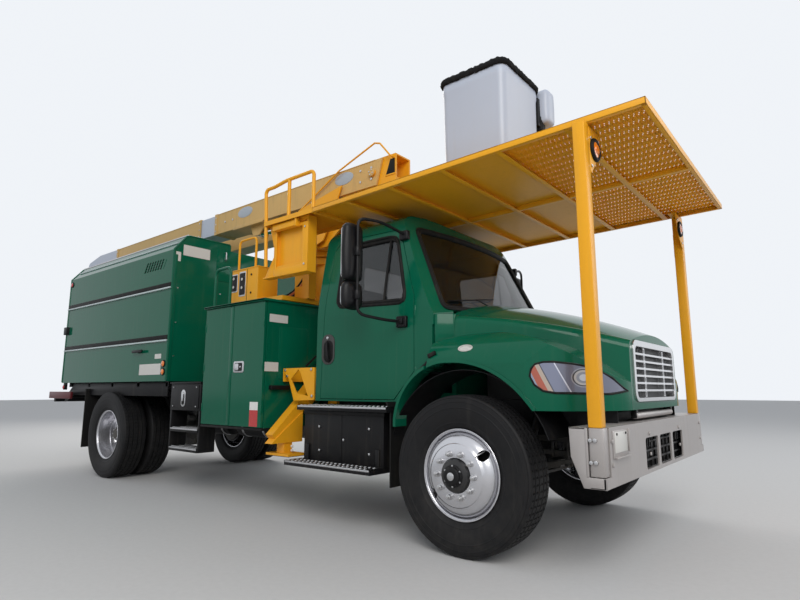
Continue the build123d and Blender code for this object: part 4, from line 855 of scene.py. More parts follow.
FRONT_HUB = [(-0.052, 0.036), (-0.052, 0.080), (0.030, 0.085), (0.030, 0.190), (-0.060, 0.192), (-0.060, 0.208),
             (0.048, 0.208), (0.048, 0.090), (0.142, 0.090), (0.142, 0.166), (0.156, 0.166), (0.156, 0.108),
             (0.176, 0.106), (0.186, 0.101), (0.190, 0.090), (0.196, 0.078), (0.198, 0.040), (0.198, 0.036)]
FRONT_CAP = [(0.196, 0.036), (0.196, 0.072), (0.204, 0.072), (0.208, 0.062), (0.222, 0.058), (0.227, 0.050),
             (0.228, 0.036)]
REAR_HUB = [(0.620, 0.046), (0.620, 0.090), (0.760, 0.096), (0.760, 0.192), (0.612, 0.194), (0.612, 0.208),
            (0.776, 0.208), (0.776, 0.100), (0.884, 0.100), (0.884, 0.166), (0.908, 0.166), (0.908, 0.108),
            (1.010, 0.100), (1.020, 0.084), (1.080, 0.084), (1.090, 0.078), (1.094, 0.060), (1.095, 0.046)]
REAR_CAP = [(1.070, 0.0), (1.070, 0.046), (1.095, 0.062), (1.104, 0.056), (1.108, 0.030), (1.110, 0.0)]


def nut_ring(piece, y, height):
    """Ten wheel nuts with their studs on a ring, facing outboard."""
    for point in around(10, 0.1425, (0, y, 0), math.radians(18)):
        for radius, share, steps, edge in ((0.0205, 0.004 / height, 16, 0.001), (0.0185, 0.7, 6, 0.0015),
                                           (0.0105, 1.0, 12, 0.001)):
            piece.add(rod(point, point + Vector((0, height * share, 0)), radius, steps), "bright_steel", edge)


def set_wheel(piece, x, side):
    """Put a wheel drawn at the origin for the left side on its axle."""
    sided(piece.form, side)
    bmesh.ops.translate(piece.form, verts=piece.form.verts, vec=(x, 0, AXLE_Z))


def make_tyres():
    twins = (REAR_WHEEL_Y + DISC_OUTSET, REAR_WHEEL_Y - DISC_OUTSET)
    for name, side in SIDES:
        for label, x, stations, body, node_name in (
                ("tread_front_", 0, (FRONT_WHEEL_Y,), "front_wheel_", "tyre_front_"),
                ("treads_rear_", REAR_AXLE, twins, "rear_wheel_", "tyres_rear_")):
            piece = Piece(label + name, "tyre_rubber")
            for y in stations:
                piece.add(tyre(y))
            set_wheel(piece, x, side)
            piece.ride(body + name, [node_name + name], "tyre_rubber", angle=28)


def make_wheels():
    y = FRONT_WHEEL_Y
    face = y + DISC_OUTSET
    for name, side in SIDES:
        front = Piece("disc_front_" + name, "wheel_steel")
        front.add(disc_wheel(y, 1))
        front.add(spun(FRONT_HUB, (0, y, 0), steps=64), "hub_paint")
        front.add(spun(FRONT_CAP + [(0.228, 0.0), (0.196, 0.0)], (0, y, 0), steps=48), "black_plastic")
        front.add(rod((0, y + 0.227, 0), (0, y + 0.232, 0), 0.026), "bright_steel", edge=0.001)
        bolts(front, around(6, 0.066, (0, y + 0.204, 0)), (0, 1, 0), 0.0065, 0.006)
        nut_ring(front, face, 0.040)
        valve = [(0.19, face - 0.055, 0.16), (0.175, face - 0.02, 0.147), (0.150, face + 0.012, 0.126)]
        front.add(bent_bar(valve, 0.004, 0.01), "bright_steel")
        set_wheel(front, 0, side)
        front.ride("front_wheel_" + name, ["wheel_front_" + name], "wheel_steel")
        rear = Piece("discs_rear_" + name, "wheel_steel")
        rear.add(disc_wheel(REAR_WHEEL_Y + DISC_OUTSET, -1))
        rear.add(disc_wheel(REAR_WHEEL_Y - DISC_OUTSET, 1))
        rear.add(spun(REAR_HUB, steps=64), "hub_paint")
        rear.add(spun(REAR_CAP, steps=48), "cast_parts")
        bolts(rear, around(8, 0.066, (0, 1.094, 0)), (0, 1, 0), 0.008, 0.008)
        nut_ring(rear, REAR_WHEEL_Y + 0.012, 0.044)
        set_wheel(rear, REAR_AXLE, side)
        rear.ride("rear_wheel_" + name, ["wheels_rear_" + name], "wheel_steel")


# Canopy

CANOPY_REAR = -1.5
CANOPY_FRONT = 1.32
CANOPY_HALF = 1.2
CANOPY_Z = 2.678
CANOPY_TILT = 1.2
CANOPY_LIP = (-0.045, 0.0)
SHEET = 0.006
RIB_STATIONS = (-1.11, -0.63, -0.13, 0.34, 0.83)
MESH_FROM = 0.34

# Expanded metal: the diamonds' two pitches, and a strand's width and height
LONG_WAY = 0.100
SHORT_WAY = 0.030
STRAND_WIDTH = 0.025
STRAND_HEIGHT = 0.013
STRAND_SHEET = 0.0016


def tipped(piece):
    """Tip a canopy piece, drawn level from its rear top edge, to its slope."""
    turn = Matrix.Rotation(-math.radians(CANOPY_TILT), 4, "Y")
    place = Matrix.Translation((CANOPY_REAR, 0, CANOPY_Z)) @ turn
    bmesh.ops.transform(piece.form, matrix=place, verts=piece.form.verts)


def expanded_sheet(piece, x, y, z, look):
    """Expanded metal: rows of strands that zigzag and share their joints."""
    count_y = round((y[1] - y[0]) / LONG_WAY)
    count_x = round((x[1] - x[0]) / SHORT_WAY)
    pitch_y = (y[1] - y[0]) / count_y
    pitch_x = (x[1] - x[0]) / count_x
    cell = bmesh.new()
    reach = STRAND_WIDTH / 2
    corners = [(0.0, 0.0), (pitch_x / 2, pitch_y / 2), (0.0, pitch_y)]
    for (ax, ay), (bx, by) in zip(corners, corners[1:]):
        strand = ((ax - reach, ay, 0), (bx - reach, by, 0), (bx + reach, by, STRAND_HEIGHT),
                  (ax + reach, ay, STRAND_HEIGHT))
        cell.faces.new([cell.verts.new(point) for point in strand])
    bmesh.ops.solidify(cell, geom=cell.faces[:], thickness=STRAND_SHEET)
    for face in cell.faces:
        face.material_index = piece.finishes.index(look)
    row = bmesh.new()
    repeated(row, as_mesh(cell), [Matrix.Translation((0, y[0] + index * pitch_y, 0)) for index in range(count_y)])
    repeated(piece.form, as_mesh(row),
             [Matrix.Translation((x[0] + (index + (way < 0)) * pitch_x, 0, z)) @ Matrix.Diagonal((way, 1, 1, 1))
              for index in range(count_x) for way in (1, -1)])


def make_canopy():
    length = CANOPY_FRONT - CANOPY_REAR
    w = CANOPY_HALF
    start = MESH_FROM - CANOPY_REAR
    piece = Piece("canopy_deck", "yellow_paint")
    piece.boxes([((0.0, start + 0.02), (-w, w), (-0.005, 0.0), 0.0)])
    piece.boxes([((0.0, length), (y, y + SHEET), CANOPY_LIP, 0.0015) for y in (-w, w - SHEET)])
    piece.boxes([((x, x + SHEET), (-w, w), CANOPY_LIP, 0.0015) for x in (0.0, length - SHEET)])
    top, fold = (-0.005, 0.0), (-0.045, -0.040)
    for span in ((-w, 0.028 - w), (w - 0.028, w)):
        piece.boxes([((0.0, length), span, fold, 0.001), ((start, length), span, top, 0.001)])
    piece.boxes([((length - 0.03, length), (-w, w), level, 0.001) for level in (top, fold)])
    piece.finishes.append("sunlit_mesh_paint")
    inner = (SHEET - w, w - SHEET)
    for x in [station - CANOPY_REAR for station in RIB_STATIONS]:
        piece.boxes([((x - 0.003, x + 0.003), inner, (-0.043, -0.004), 0.001),
                     ((x - 0.003, x + 0.040), inner, (-0.046, -0.041), 0.001)])
    along = (SHEET, length - SHEET)
    piece.boxes([(along, (-0.003, 0.003), (-0.041, -0.004), 0.001), (along, (-0.003, 0.034), (-0.0435, -0.039), 0.001)])
    # The strands take the lighter yellow of painted sunlight.
    expanded_sheet(piece, (start + 0.004, length - 0.020), (0.01 - w, w - 0.01), -0.009, "sunlit_mesh_paint")
    tipped(piece)
    piece.ride("chassis", ["canopy"], "yellow_paint")


# Posts, lamps and bumper

POST_X = 0.939
POST_Y = 1.212
POST_HALF = 0.038
BUMPER_TOP = 0.867
BUMPER_LOW = 0.540
BUMPER_STEP = 0.600
BUMPER_FRONT = 0.990
BUMPER_HALF = 1.257
BUMPER_SLOTS = (-0.335, 0.015, 0.365)


def make_posts():
    """Square posts, yellow above the bumper and silver beside it, with their gussets and bolts."""
    piece = Piece("post_pair", "yellow_paint")
    y = POST_Y
    span = (y - POST_HALF, y + POST_HALF)
    back, front = POST_X - POST_HALF, POST_X + POST_HALF
    top = CANOPY_Z + math.tan(math.radians(CANOPY_TILT)) * (POST_X - CANOPY_REAR) - 0.046
    piece.boxes([((back, front), span, (BUMPER_TOP, top), 0.007)], both=True)
    piece.boxes([((back, POST_X + 0.046), span, (0.602, BUMPER_TOP), 0.007)], "silver_paint", both=True)
    gusset = [(y - 0.038, top), (y - 0.038, 2.39), (y - 0.052, 2.372), (y - 0.150, 2.475), (y - 0.195, 2.56),
              (y - 0.215, 2.66), (y - 0.215, top)]
    piece.add(slab(gusset, "x", POST_X + 0.030, front), edge=0.0015, both=True)
    piece.boxes([((POST_X - 0.03, front), (y - 0.215, y + 0.02), (top - 0.008, top), 0.001),
                 ((back - 0.004, back + 0.002), (y - 0.02, y + 0.02), (2.30, 2.52), 0.001)], both=True)
    bolts(piece, [(front, y - dy, dz) for dy, dz in ((0.055, 2.60), (0.055, 2.42), (0.185, 2.62))], (1, 0, 0),
          both=True)
    bolts(piece, [(POST_X, y + POST_HALF, z) for z in (0.80, 0.68)], (0, 1, 0), 0.013, 0.012, both=True)
    piece.ride("chassis", ["canopy_posts"], "yellow_paint")


def make_canopy_lamps():
    """Round amber lamps in black rings on the gussets."""
    piece = Piece("canopy_markers", "black_rubber")
    centre = Vector((POST_X + 0.038, POST_Y - 0.118, 2.54))
    ring = [(0.0, 0.046), (0.0, 0.074), (0.010, 0.074), (0.018, 0.068), (0.020, 0.058), (0.014, 0.048)]
    lens = [(0.006, 0.0), (0.006, 0.049), (0.014, 0.049), (0.017, 0.044), (0.019, 0.030), (0.024, 0.028),
            (0.026, 0.016), (0.027, 0.0)]
    wire = [centre + Vector(step) for step in ((-0.01, 0.0, 0.03), (-0.03, 0.03, 0.06), (-0.03, 0.07, 0.09))]
    piece.add(spun(ring, centre, "x", 40), both=True)
    piece.add(spun(lens, centre, "x", 40), "amber_lens", both=True)
    piece.add(pipe(wire, 0.006, 8), both=True)
    piece.ride("chassis", ["canopy_lamps"], "amber_lens")


def make_bumper():
    """The bumper channel with its three slots, the mounts and cooler seen behind them, and a plate holder."""
    piece = Piece("bumper_channel", "silver_paint")
    notch = POST_Y - POST_HALF - 0.006
    low, step, top, half, x = BUMPER_LOW, BUMPER_STEP, BUMPER_TOP, BUMPER_HALF, BUMPER_FRONT
    outline = [(-notch, top), (notch, top), (notch, step), (half, step), (half, low), (-half, low), (-half, step),
               (-notch, step)]
    slots = [slab(rounded(0.30, 0.20, 0.022, (y, 0.665)), "x", 0.95, 1.02) for y in BUMPER_SLOTS]
    piece.add(carved(slab(outline, "x", x - 0.012, x), *slots))
    ledge = (top - 0.010, top)
    piece.boxes([((0.792, x - 0.004), (-notch, notch), ledge, 0.003)])
    piece.boxes([((0.792, 0.899), (notch, half), ledge, 0.003)], both=True)
    piece.boxes([((0.900, x - 0.002), (-half, half), (low, low + 0.010), 0.003)])
    end = [(0.792, top), (0.797, 0.705), (0.864, low), (x, low), (x, step), (0.899, step), (0.899, top)]
    piece.add(slab(end, "y", half - 0.010, half), edge=0.003, both=True)
    piece.boxes([((0.884, 0.899), (half - 0.03, half + 0.004), (step, top), 0.003),
                 ((0.90, 0.978), (notch - 0.008, notch), (step, top), 0.0)], both=True)
    piece.boxes([((0.790, 0.978), (y, y + 0.010), (0.70, top - 0.01), 0.0) for y in (0.35, 0.40)], "black_steel", True)
    piece.boxes([((0.930, 0.936), (-1.05, 1.05), (0.552, 0.855), 0.002)], "black_plastic")
    piece.boxes([((0.936, 0.946), (y - 0.005, y + 0.005), (0.56, 0.83), 0.002)
                 for y in [-0.60 + 0.10 * index for index in range(13)]], "black_plastic")
    piece.rods([((0.950, -0.7, z), (0.950, 0.8, z), 0.009, 12, 0.0) for z in (0.61, 0.67, 0.73)], "black_steel")
    bolts(piece, [(x, y, z) for y in (1.14, 0.40) for z in (0.79, 0.66)], (1, 0, 0), 0.012, 0.009, piece.look, True)
    bolts(piece, [(0.914, half, z) for z in (0.80, 0.68)], (0, 1, 0), 0.012, 0.010, both=True)
    piece.boxes([((x, x + 0.006), (-1.125, -0.860), (0.690, 0.846), 0.002),
                 ((x + 0.006, x + 0.016), (-0.868, -0.860), (0.715, 0.846), 0.001),
                 ((x + 0.006, x + 0.022), (-1.110, -0.862), (0.690, 0.700), 0.001)])
    piece.boxes([((x + 0.006, x + 0.009), (-1.105, -0.885), (0.722, 0.838), 0.001)], "sign_plate")
    bolts(piece, [(x + 0.009, y, 0.826) for y in (-1.075, -0.915)], (1, 0, 0), 0.008, 0.005, "black_steel")
    piece.ride("chassis", ["bumper"], "silver_paint")


# Cab

SIDE_WINDOW = ((-1.345, 1.79), (-0.615, 1.76), (-0.600, 1.83), (-0.735, 2.30), (-0.790, 2.34), (-1.300, 2.345),
               (-1.345, 2.30))
SCREEN_CORNERS = ((-0.893, 1.697), (0.893, 1.697), (0.793, 2.423), (-0.793, 2.423))


def make_door_trims():
    """Handles, window seals, divider bars and hinge covers on the doors."""
    y = 1.012
    lever = [(-1.452, y + 0.012, 1.485), (-1.446, y + 0.030, 1.47), (-1.436, y + 0.034, 1.40),
             (-1.428, y + 0.030, 1.33), (-1.424, y + 0.012, 1.315)]
    for name, side in SIDES:
        piece = Piece("door_trim_" + name, "black_rubber")
        inner = [(x * 0.985 - 0.014, (z - 2.06) * 0.95 + 2.06) for x, z in SIDE_WINDOW]
        grown = [(p.x + (p.x + 0.98) * 0.025, 2.06 + (p.y - 2.06) * 1.03) for p in softened(SIDE_WINDOW, 0.07, True)]
        piece.add(hoop(laid("door_glass_left", inner, lift=0.004), 0.020))
        piece.add(hoop(laid("door_left", grown), 0.012))
        bar = laid("door_glass_left", [(-0.822, 1.78), (-0.822, 2.335)], closed=False, lift=0.006)
        piece.add(pipe(bar, 0.011, 8, False))
        piece.add(slab(rounded(0.158, 0.262, 0.07, (-1.447, 1.422), 8), "y", y, y + 0.010), "cast_parts", edge=0.004)
        piece.add(slab(rounded(0.112, 0.190, 0.052, (-1.440, 1.405), 8), "y", y + 0.010, y + 0.013), edge=0.001)
        piece.add(pipe(lever, 0.013, 12), "black_plastic")
        piece.rods([((-1.452, y + 0.008, 1.522), (-1.452, y + 0.016, 1.522), 0.013, 20, 0.002)], "bright_steel")
        piece.rods([((-0.492, 1.006, z), (-0.492, 1.006, z + 0.10), 0.012, 12, 0.003) for z in (1.15, 1.62)],
                   "green_paint")
        piece.ride("door_" + name, side=side)


def make_mirrors():
    """Two mirror heads on a bent arm at each door."""
    arm = [(-0.650, 0.940, 2.330), (-0.700, 1.180, 2.392), (-0.770, 1.372, 2.392), (-0.770, 1.372, 1.640),
           (-0.640, 1.180, 1.600), (-0.600, 1.040, 1.600)]
    for name, side in SIDES:
        piece = Piece("mirror_set_" + name, "black_plastic")
        piece.add(bent_bar(arm, 0.0125, 0.07), "black_steel")
        for low, high in ((1.905, 2.345), (1.690, 1.885)):
            z = (low + high) / 2
            piece.add(soft_box((-0.870, -0.795), (1.274, 1.458), (low, high), 0.014, 8, 0.032))
            piece.plates("x", [(0.160, high - low - 0.034, 0.028, (1.366, z), (-0.876, -0.868), 0.001)], "mirror_glass")
            piece.rods([((-0.77, 1.372, z - 0.035), (-0.77, 1.372, z + 0.035), 0.024, 20, 0.004)])
            piece.boxes([((-0.815, -0.772), (1.357, 1.393), (z - 0.02, z + 0.02), 0.005)])
        piece.add(soft_box((-0.660, -0.560), (1.012, 1.046), (1.555, 1.645), 0, 2, 0.010))
        piece.boxes([((-0.640, -0.580), (1.03, 1.07), (1.580, 1.625), 0.008)])
        piece.add(soft_box((-0.700, -0.610), (0.915, 0.960), (2.285, 2.365), 0, 2, 0.012))
        bolts(piece, [(x, 1.046, z) for x in (-0.645, -0.575) for z in (1.57, 1.63)], (0, 1, 0), 0.007, 0.005,
              "black_steel")
        piece.ride("door_" + name, ["mirrors_" + name], "black_plastic", side=side)


def make_screen_trims():
    """Seals of the screen and rear light, wipers, and the vent panel at the screen's foot."""
    piece = Piece("screen_trim", "black_rubber")
    ring = softened(SCREEN_CORNERS, 0.06, True)
    piece.add(hoop(laid("cab_shell", ring, "x"), 0.014))
    inner = [(y * 0.972, (z - 2.06) * 0.955 + 2.06) for y, z in ring]
    piece.add(hoop(laid("cab_glass", inner, "x", lift=0.002), 0.018))
    piece.add(hoop([(-1.602, y, z) for y, z in rounded(0.93, 0.41, 0.07, (0, 2.09))], 0.012))
    wipers = (((-0.10, 1.672), (-0.80, 1.765), (-0.17, 1.850)), ((0.62, 1.672), (-0.02, 1.775), (0.66, 1.845)))
    for foot, low, high in wipers:
        blade, spine = [laid("cab_glass", [low, high], "x", 0.05, False, lift) for lift in (0.012, 0.024)]
        piece.add(pipe(blade, 0.0055, 6, False))
        piece.add(pipe(spine[1:-1], 0.0045, 6, False), "black_plastic")
        grip = spine[len(spine) // 2]
        pivot = seen_spot("cab_shell", "x", *foot, 0.012)
        piece.add(pipe([pivot, pivot + Vector((0.02, 0, 0.02)), grip + Vector((0.014, 0, 0)), grip], 0.0065, 8),
                  "black_plastic")
        piece.rods([(pivot - Vector((0.02, 0, 0)), pivot + Vector((0.012, 0, 0)), 0.016, 20, 0.003)], "black_plastic")
    piece.add(skin_patch("cab_shell", (-0.80, 0.80), (1.635, 1.682), "x", 0.004, 0.006, (24, 2)), "black_plastic")
    for y in [-0.725 + 0.05 * index for index in range(30)]:
        if all(abs(y - foot[0]) > 0.04 for foot, *_ in wipers):
            piece.add(skin_patch("cab_shell", (y - 0.016, y + 0.016), (1.648, 1.670), "x", 0.008, 0.004, (1, 1)))
    piece.ride("chassis")


def make_seats():
    """Two cab seats with soft cushions and backs."""
    for label, y in (("driver", 0.48), ("mate", -0.48)):
        for part, spans in (("cushion", ((-1.38, -0.90), (y - 0.24, y + 0.24), (1.24, 1.40))),
                            ("back", ((-0.07, 0.07), (y - 0.235, y + 0.235), (0.0, 0.62)))):
            piece = Piece("seat_" + part + "_" + label)
            form = soft_box(*spans, 0.022, 8, 0.035)
            if part == "back":
                lean = Matrix.Translation((-1.40, 0, 1.38)) @ Matrix.Rotation(-0.13, 4, "Y")
                bmesh.ops.transform(form, matrix=lean, verts=form.verts)
            made = piece.add(form, "seat_cloth").ride("chassis", slot="cab_trim")


def make_dash():
    """Dash, steering wheel and seat stands."""
    piece = Piece("dash_and_wheel", "black_plastic")
    dash = [(-0.50, 1.30), (-0.64, 1.30), (-0.70, 1.50), (-0.685, 1.67), (-0.64, 1.72), (-0.56, 1.742), (-0.50, 1.742)]
    piece.add(slab(dash, "y", -0.82, 0.82), "cab_trim", edge=0.012)
    piece.add(soft_box((-0.74, -0.66), (0.26, 0.70), (1.56, 1.70), 0, 2, 0.02), "cab_trim")
    piece.rods([((-0.742, y, 1.63), (-0.75, y, 1.63), 0.034, 28, 0.003) for y in (0.40, 0.48, 0.56)])
    piece.boxes([((-0.704, -0.690), (y - 0.06, y + 0.06), (1.60, 1.65), 0.004) for y in (-0.70, -0.40, -0.10, 0.76)])
    piece.boxes([((-1.33, -0.96), (y - 0.18, y + 0.18), (1.02, 1.235), 0.01) for y in (-0.48, 0.48)])
    tilt = Matrix.Translation((-0.790, 0.48, 1.612)) @ Matrix.Rotation(math.radians(-60), 4, "Y")
    piece.add(hoop([tilt @ Vector((*spot, 0)) for spot in ellipse(40, (0, 0), 0.225, 0.225)], 0.016, 12))
    for angle in (0.3, 2.84, 4.71):
        end = tilt @ Vector((0.22 * math.sin(angle), 0.22 * math.cos(angle), 0))
        piece.add(rod(tilt @ Vector((0, 0, -0.01)), end, 0.010, 10))
    piece.rods([(tilt @ Vector((0, 0, -0.03)), tilt @ Vector((0, 0, 0.012)), 0.05, 24, 0.006),
                ((-0.70, 0.48, 1.56), (-0.79, 0.48, 1.61), 0.03, 16, 0.0)])
    piece.ride("chassis", ["cab_interior"], "cab_trim")


# Hood

LAMP_EDGE = ((0.503, 1.163), (0.513, 1.207), (0.538, 1.234), (0.585, 1.246), (0.640, 1.247), (0.740, 1.234),
             (0.835, 1.211), (0.905, 1.152), (0.950, 1.068), (0.900, 1.051), (0.830, 1.053), (0.740, 1.055),
             (0.650, 1.057), (0.580, 1.070), (0.530, 1.108))


def make_hood_trims():
    """Lamp seals, fender liners, latches, the flares beside the cowl, blank ovals and the pivot's tube."""
    piece = Piece("hood_trim", "black_plastic")
    piece.add(hoop(laid("hood", LAMP_EDGE, pitch=0.02, lift=0.002), 0.0075), "black_rubber", both=True)
    centre_x, centre_z, radius = -0.02, 0.56, 0.655
    turns = [math.radians(12 + 7.1 * k) for k in range(22)]
    liner = [(centre_x - radius * math.cos(turn), centre_z + radius * math.sin(turn)) for turn in turns]
    inner = [(centre_x + (x - centre_x) * 0.992, centre_z + (z - centre_z) * 0.992) for x, z in reversed(liner)]
    piece.add(slab(liner + inner, "y", 0.70, 1.095), both=True)
    piece.add(slab([(0.62, 0.62), (0.90, 0.75), (0.90, 0.95), (0.64, 0.95)], "y", 0.72, 0.725), both=True)
    latch = laid("hood", [(-0.290, 1.315), (-0.235, 1.34)], closed=False, lift=0.010)
    piece.add(pipe(latch, 0.017, 10, False), "black_rubber", both=True)
    flare = [(-0.318, 0.900), (-0.318, 1.006), (-0.294, 1.006), (-0.190, 0.924), (-0.190, 0.900)]
    piece.add(slab(flare, "z", 1.405, 1.640), "green_paint", edge=0.008, both=True)
    bead = laid("hood", ellipse(20, (0.005, 1.362), 0.055, 0.021), lift=0.003)
    piece.add(hoop(bead, 0.005, 6), "sign_plate", both=True)
    piece.add(filled(bead), "sign_plate", both=True)
    piece.rods([((0.925, -0.46, 0.905), (0.925, 0.46, 0.905), 0.022, 20, 0.002)], "silver_paint")
    piece.boxes([((0.905, 0.940), (0.43, 0.47), (0.888, 0.945), 0.003)], "black_steel", both=True)
    piece.rods([((0.885, -0.40, 0.945), (0.885, 0.40, 0.945), 0.014, 14, 0.0)], "black_steel")
    piece.ride("hood")


def make_cab_latches():
    """The cab's ends of the hood latches, and the splash shields behind the front wheels."""
    piece = Piece("cab_fittings", "black_rubber")
    catch = laid("cab_shell", [(-0.455, 1.20), (-0.40, 1.245), (-0.345, 1.285)], closed=False, lift=0.012, pitch=0.02)
    piece.add(pipe(catch, 0.017, 10, False), both=True)
    for x, z in ((-0.43, 1.222), (-0.365, 1.272)):
        spot = seen_spot("cab_shell", "y", x, z, 0.0)
        piece.rods([(spot, spot + Vector((0, 0.03, 0)), 0.013, 14, 0.002)], "black_steel", both=True)
    shield = [(-0.645, 0.36), (-0.655, 0.36), (-0.655, 0.90), (-0.70, 0.985), (-0.685, 0.985), (-0.645, 0.90)]
    piece.add(slab(shield, "y", 0.80, 1.12), both=True)
    piece.ride("chassis")


# Steps, boxes and lockers


def tread_plate(piece, x, y, z, rows):
    """A grip tread: a channel with folded edges, a bright strip in front and rows of raised rings."""
    fold = (z - 0.040, z)
    piece.boxes([(x, y, (z - 0.004, z), 0.001)])
    piece.boxes([(x, (edge_y, edge_y + 0.004), fold, 0.001) for edge_y in (y[0], y[1] - 0.004)])
    piece.boxes([((edge_x, edge_x + 0.004), y, fold, 0.001) for edge_x in (x[0], x[1] - 0.004)])
    outer = max(y, key=abs)
    strip = tuple(sorted((outer, outer + math.copysign(0.003, outer))))
    piece.boxes([((x[0] + 0.01, x[1] - 0.01), strip, (z - 0.016, z - 0.002), 0.001)], "bright_steel")
    pitch = 0.046
    count = int((x[1] - x[0] - 0.05) / pitch)
    depth = (y[1] - y[0] - 0.05) / (rows - 1)
    places = [Matrix.Translation((x[0] + 0.035 + i * pitch + (j % 2) * pitch / 2, y[0] + 0.025 + j * depth, z))
              for i in range(count) for j in range(rows)]
    ring = spun([(0.0, 0.009), (0.0, 0.016), (0.005, 0.0125), (0.005, 0.0095)], axis="z", steps=8)
    piece.add(ring, "bright_steel", spin=places)


def make_steps():
    """Cab steps: treads, the side case with its bolts, and hangers."""
    piece = Piece("step_set")
    tread_plate(piece, (-1.665, -0.646), (-1.165, -0.78), 0.945, 5)
    tread_plate(piece, (-1.72, -0.74), (-1.243, -0.96), 0.490, 4)
    side, deep, high = (-1.085, -1.075), (-1.085, -0.460), (0.487, 0.905)
    piece.boxes([((-1.650, -0.745), side, high, 0.004), ((-0.751, -0.745), deep, high, 0.002),
                 ((-1.650, -1.644), deep, high, 0.002), ((-1.660, -0.735), (-1.090, -1.078), (0.868, 0.905), 0.004),
                 ((-1.20, -1.195), (-1.089, -1.084), (0.50, 0.87), 0.001)])
    bolts(piece, [(x, -1.085, z) for x, z in ((-1.458, 0.769), (-0.889, 0.772), (-1.169, 0.674), (-1.451, 0.576),
                                              (-0.887, 0.580))], (0, -1, 0), 0.011, 0.010)
    for x in (-1.60, -0.80):
        piece.boxes([((x - 0.02, x + 0.02), (-1.20, -0.97), (0.452, 0.462), 0.002),
                     ((x - 0.02, x + 0.02), (-1.098, -1.088), (0.45, 0.62), 0.002)])
    tread_plate(piece, (-1.64, -0.72), (0.88, 1.165), 0.945, 5)
    tread_plate(piece, (-1.64, -0.72), (1.00, 1.185), 0.487, 3)
    piece.boxes([((x, x + 0.03), (1.112, 1.160), (0.455, 0.912), 0.003) for x in (-1.57, -0.85)])
    piece.ride("chassis", ["cab_steps"], "black_steel")


TOOL_REAR = -3.076
TOOL_FRONT = -2.087
TOOL_LOW = 0.731
TOOL_TOP = 1.895
TOOL_Y = 1.220
TOOL_SPLIT = (TOOL_REAR + TOOL_FRONT) / 2


def paddle_latch(piece, x, y, z, width, height):
    """A flush paddle latch: bright bezel, dark pan, the paddle in it and its key."""
    piece.plates("y", [(width, height, 0.018, (x, z), (y, y + 0.005), 0.002, "bright_steel"),
                       (width * 0.72, height * 0.72, 0.012, (x, z), (y + 0.005, y + 0.0065), 0.0, "black_plastic"),
                       (width * 0.34, height * 0.60, 0.010, (x - width * 0.12, z), (y + 0.006, y + 0.014), 0.003,
                        "bright_steel")])
    key_x = x + width * 0.2
    piece.rods([((key_x, y + 0.006, z), (key_x, y + 0.011, z), 0.010, 16, 0.001)], "bright_steel")


def make_tool_box_trims():
    """Lids, sills, and lugs of the tool boxes, with a latch and a striped marker on each front leaf."""
    piece = Piece("tool_box_trim", "green_paint")
    lid = (TOOL_REAR - 0.018, TOOL_FRONT + 0.018)
    rear, front, y, top, low = TOOL_REAR, TOOL_FRONT, TOOL_Y, TOOL_TOP, TOOL_LOW
    piece.boxes([(lid, (0.53, y + 0.022), (top + 0.002, top + 0.026), 0.006),
                 (lid, (y + 0.010, y + 0.022), (top + 0.003, top + 0.026), 0.004)], both=True)
    piece.boxes([((rear - 0.002, front + 0.002), (y - 0.040, y - 0.002), (low - 0.024, low - 0.002), 0.003)],
                "black_rubber", both=True)
    lug = [(rear, 1.40), (rear, 1.57), (rear - 0.10, 1.56), (rear - 0.12, 1.50), (rear - 0.04, 1.46)]
    piece.add(slab(lug, "y", 1.10, 1.14), edge=0.004, both=True)
    piece.plates("x", [(0.36, 0.50, 0.03, (0.87, 1.42), (front, front + 0.003), 0.001)], both=True)
    piece.plates("x", [(width, height, 0.004, place, (front, front + 0.002), 0.0) for width, height, place in
                       ((0.215, 0.075, (1.06, 1.74)), (0.170, 0.085, (1.12, 1.285)))], "sign_plate", both=True)
    piece.boxes([((-2.09, -2.045), (0.93, 1.15), (1.075, 1.115), 0.006)], "black_steel", both=True)
    piece.ride("chassis")
    for name, side in SIDES:
        leaf = Piece("leaf_trim_front_" + name)
        paddle_latch(leaf, -2.463, y, 1.290, 0.165, 0.108)
        for look, at in (("red_lens", 0.742), ("red_lens", 0.816), ("white_paint", 0.742 + 2 * 0.074)):
            leaf.boxes([((-2.265, -2.143), (y, y + 0.0015), (at, at + 0.074), 0.0)], look)
        hinge_trims(leaf, front - 0.010)
        leaf.ride("tool_door_{}_front".format(name), side=side)
        leaf = Piece("leaf_trim_rear_" + name)
        hinge_trims(leaf, rear + 0.010)
        leaf.boxes([((TOOL_SPLIT - 0.05, TOOL_SPLIT - 0.004), (y, y + 0.003), (low + 0.01, top - 0.01), 0.001)],
                   "green_paint")
        leaf.ride("tool_door_{}_rear".format(name), side=side)


def hinge_trims(piece, x):
    piece.rods([((x, TOOL_Y, z - 0.04), (x, TOOL_Y, z + 0.04), 0.007, 12, 0.001) for z in (0.90, 1.30, 1.70)],
               "green_paint")


BOX_FRONT = -3.829
BOX_REAR = -6.787
BOX_Y = 1.217
BOX_LOW = 1.228
BOX_SHOULDER = 2.678
BOX_ROOF = 2.870
LEDGES = (1.645, 2.250)


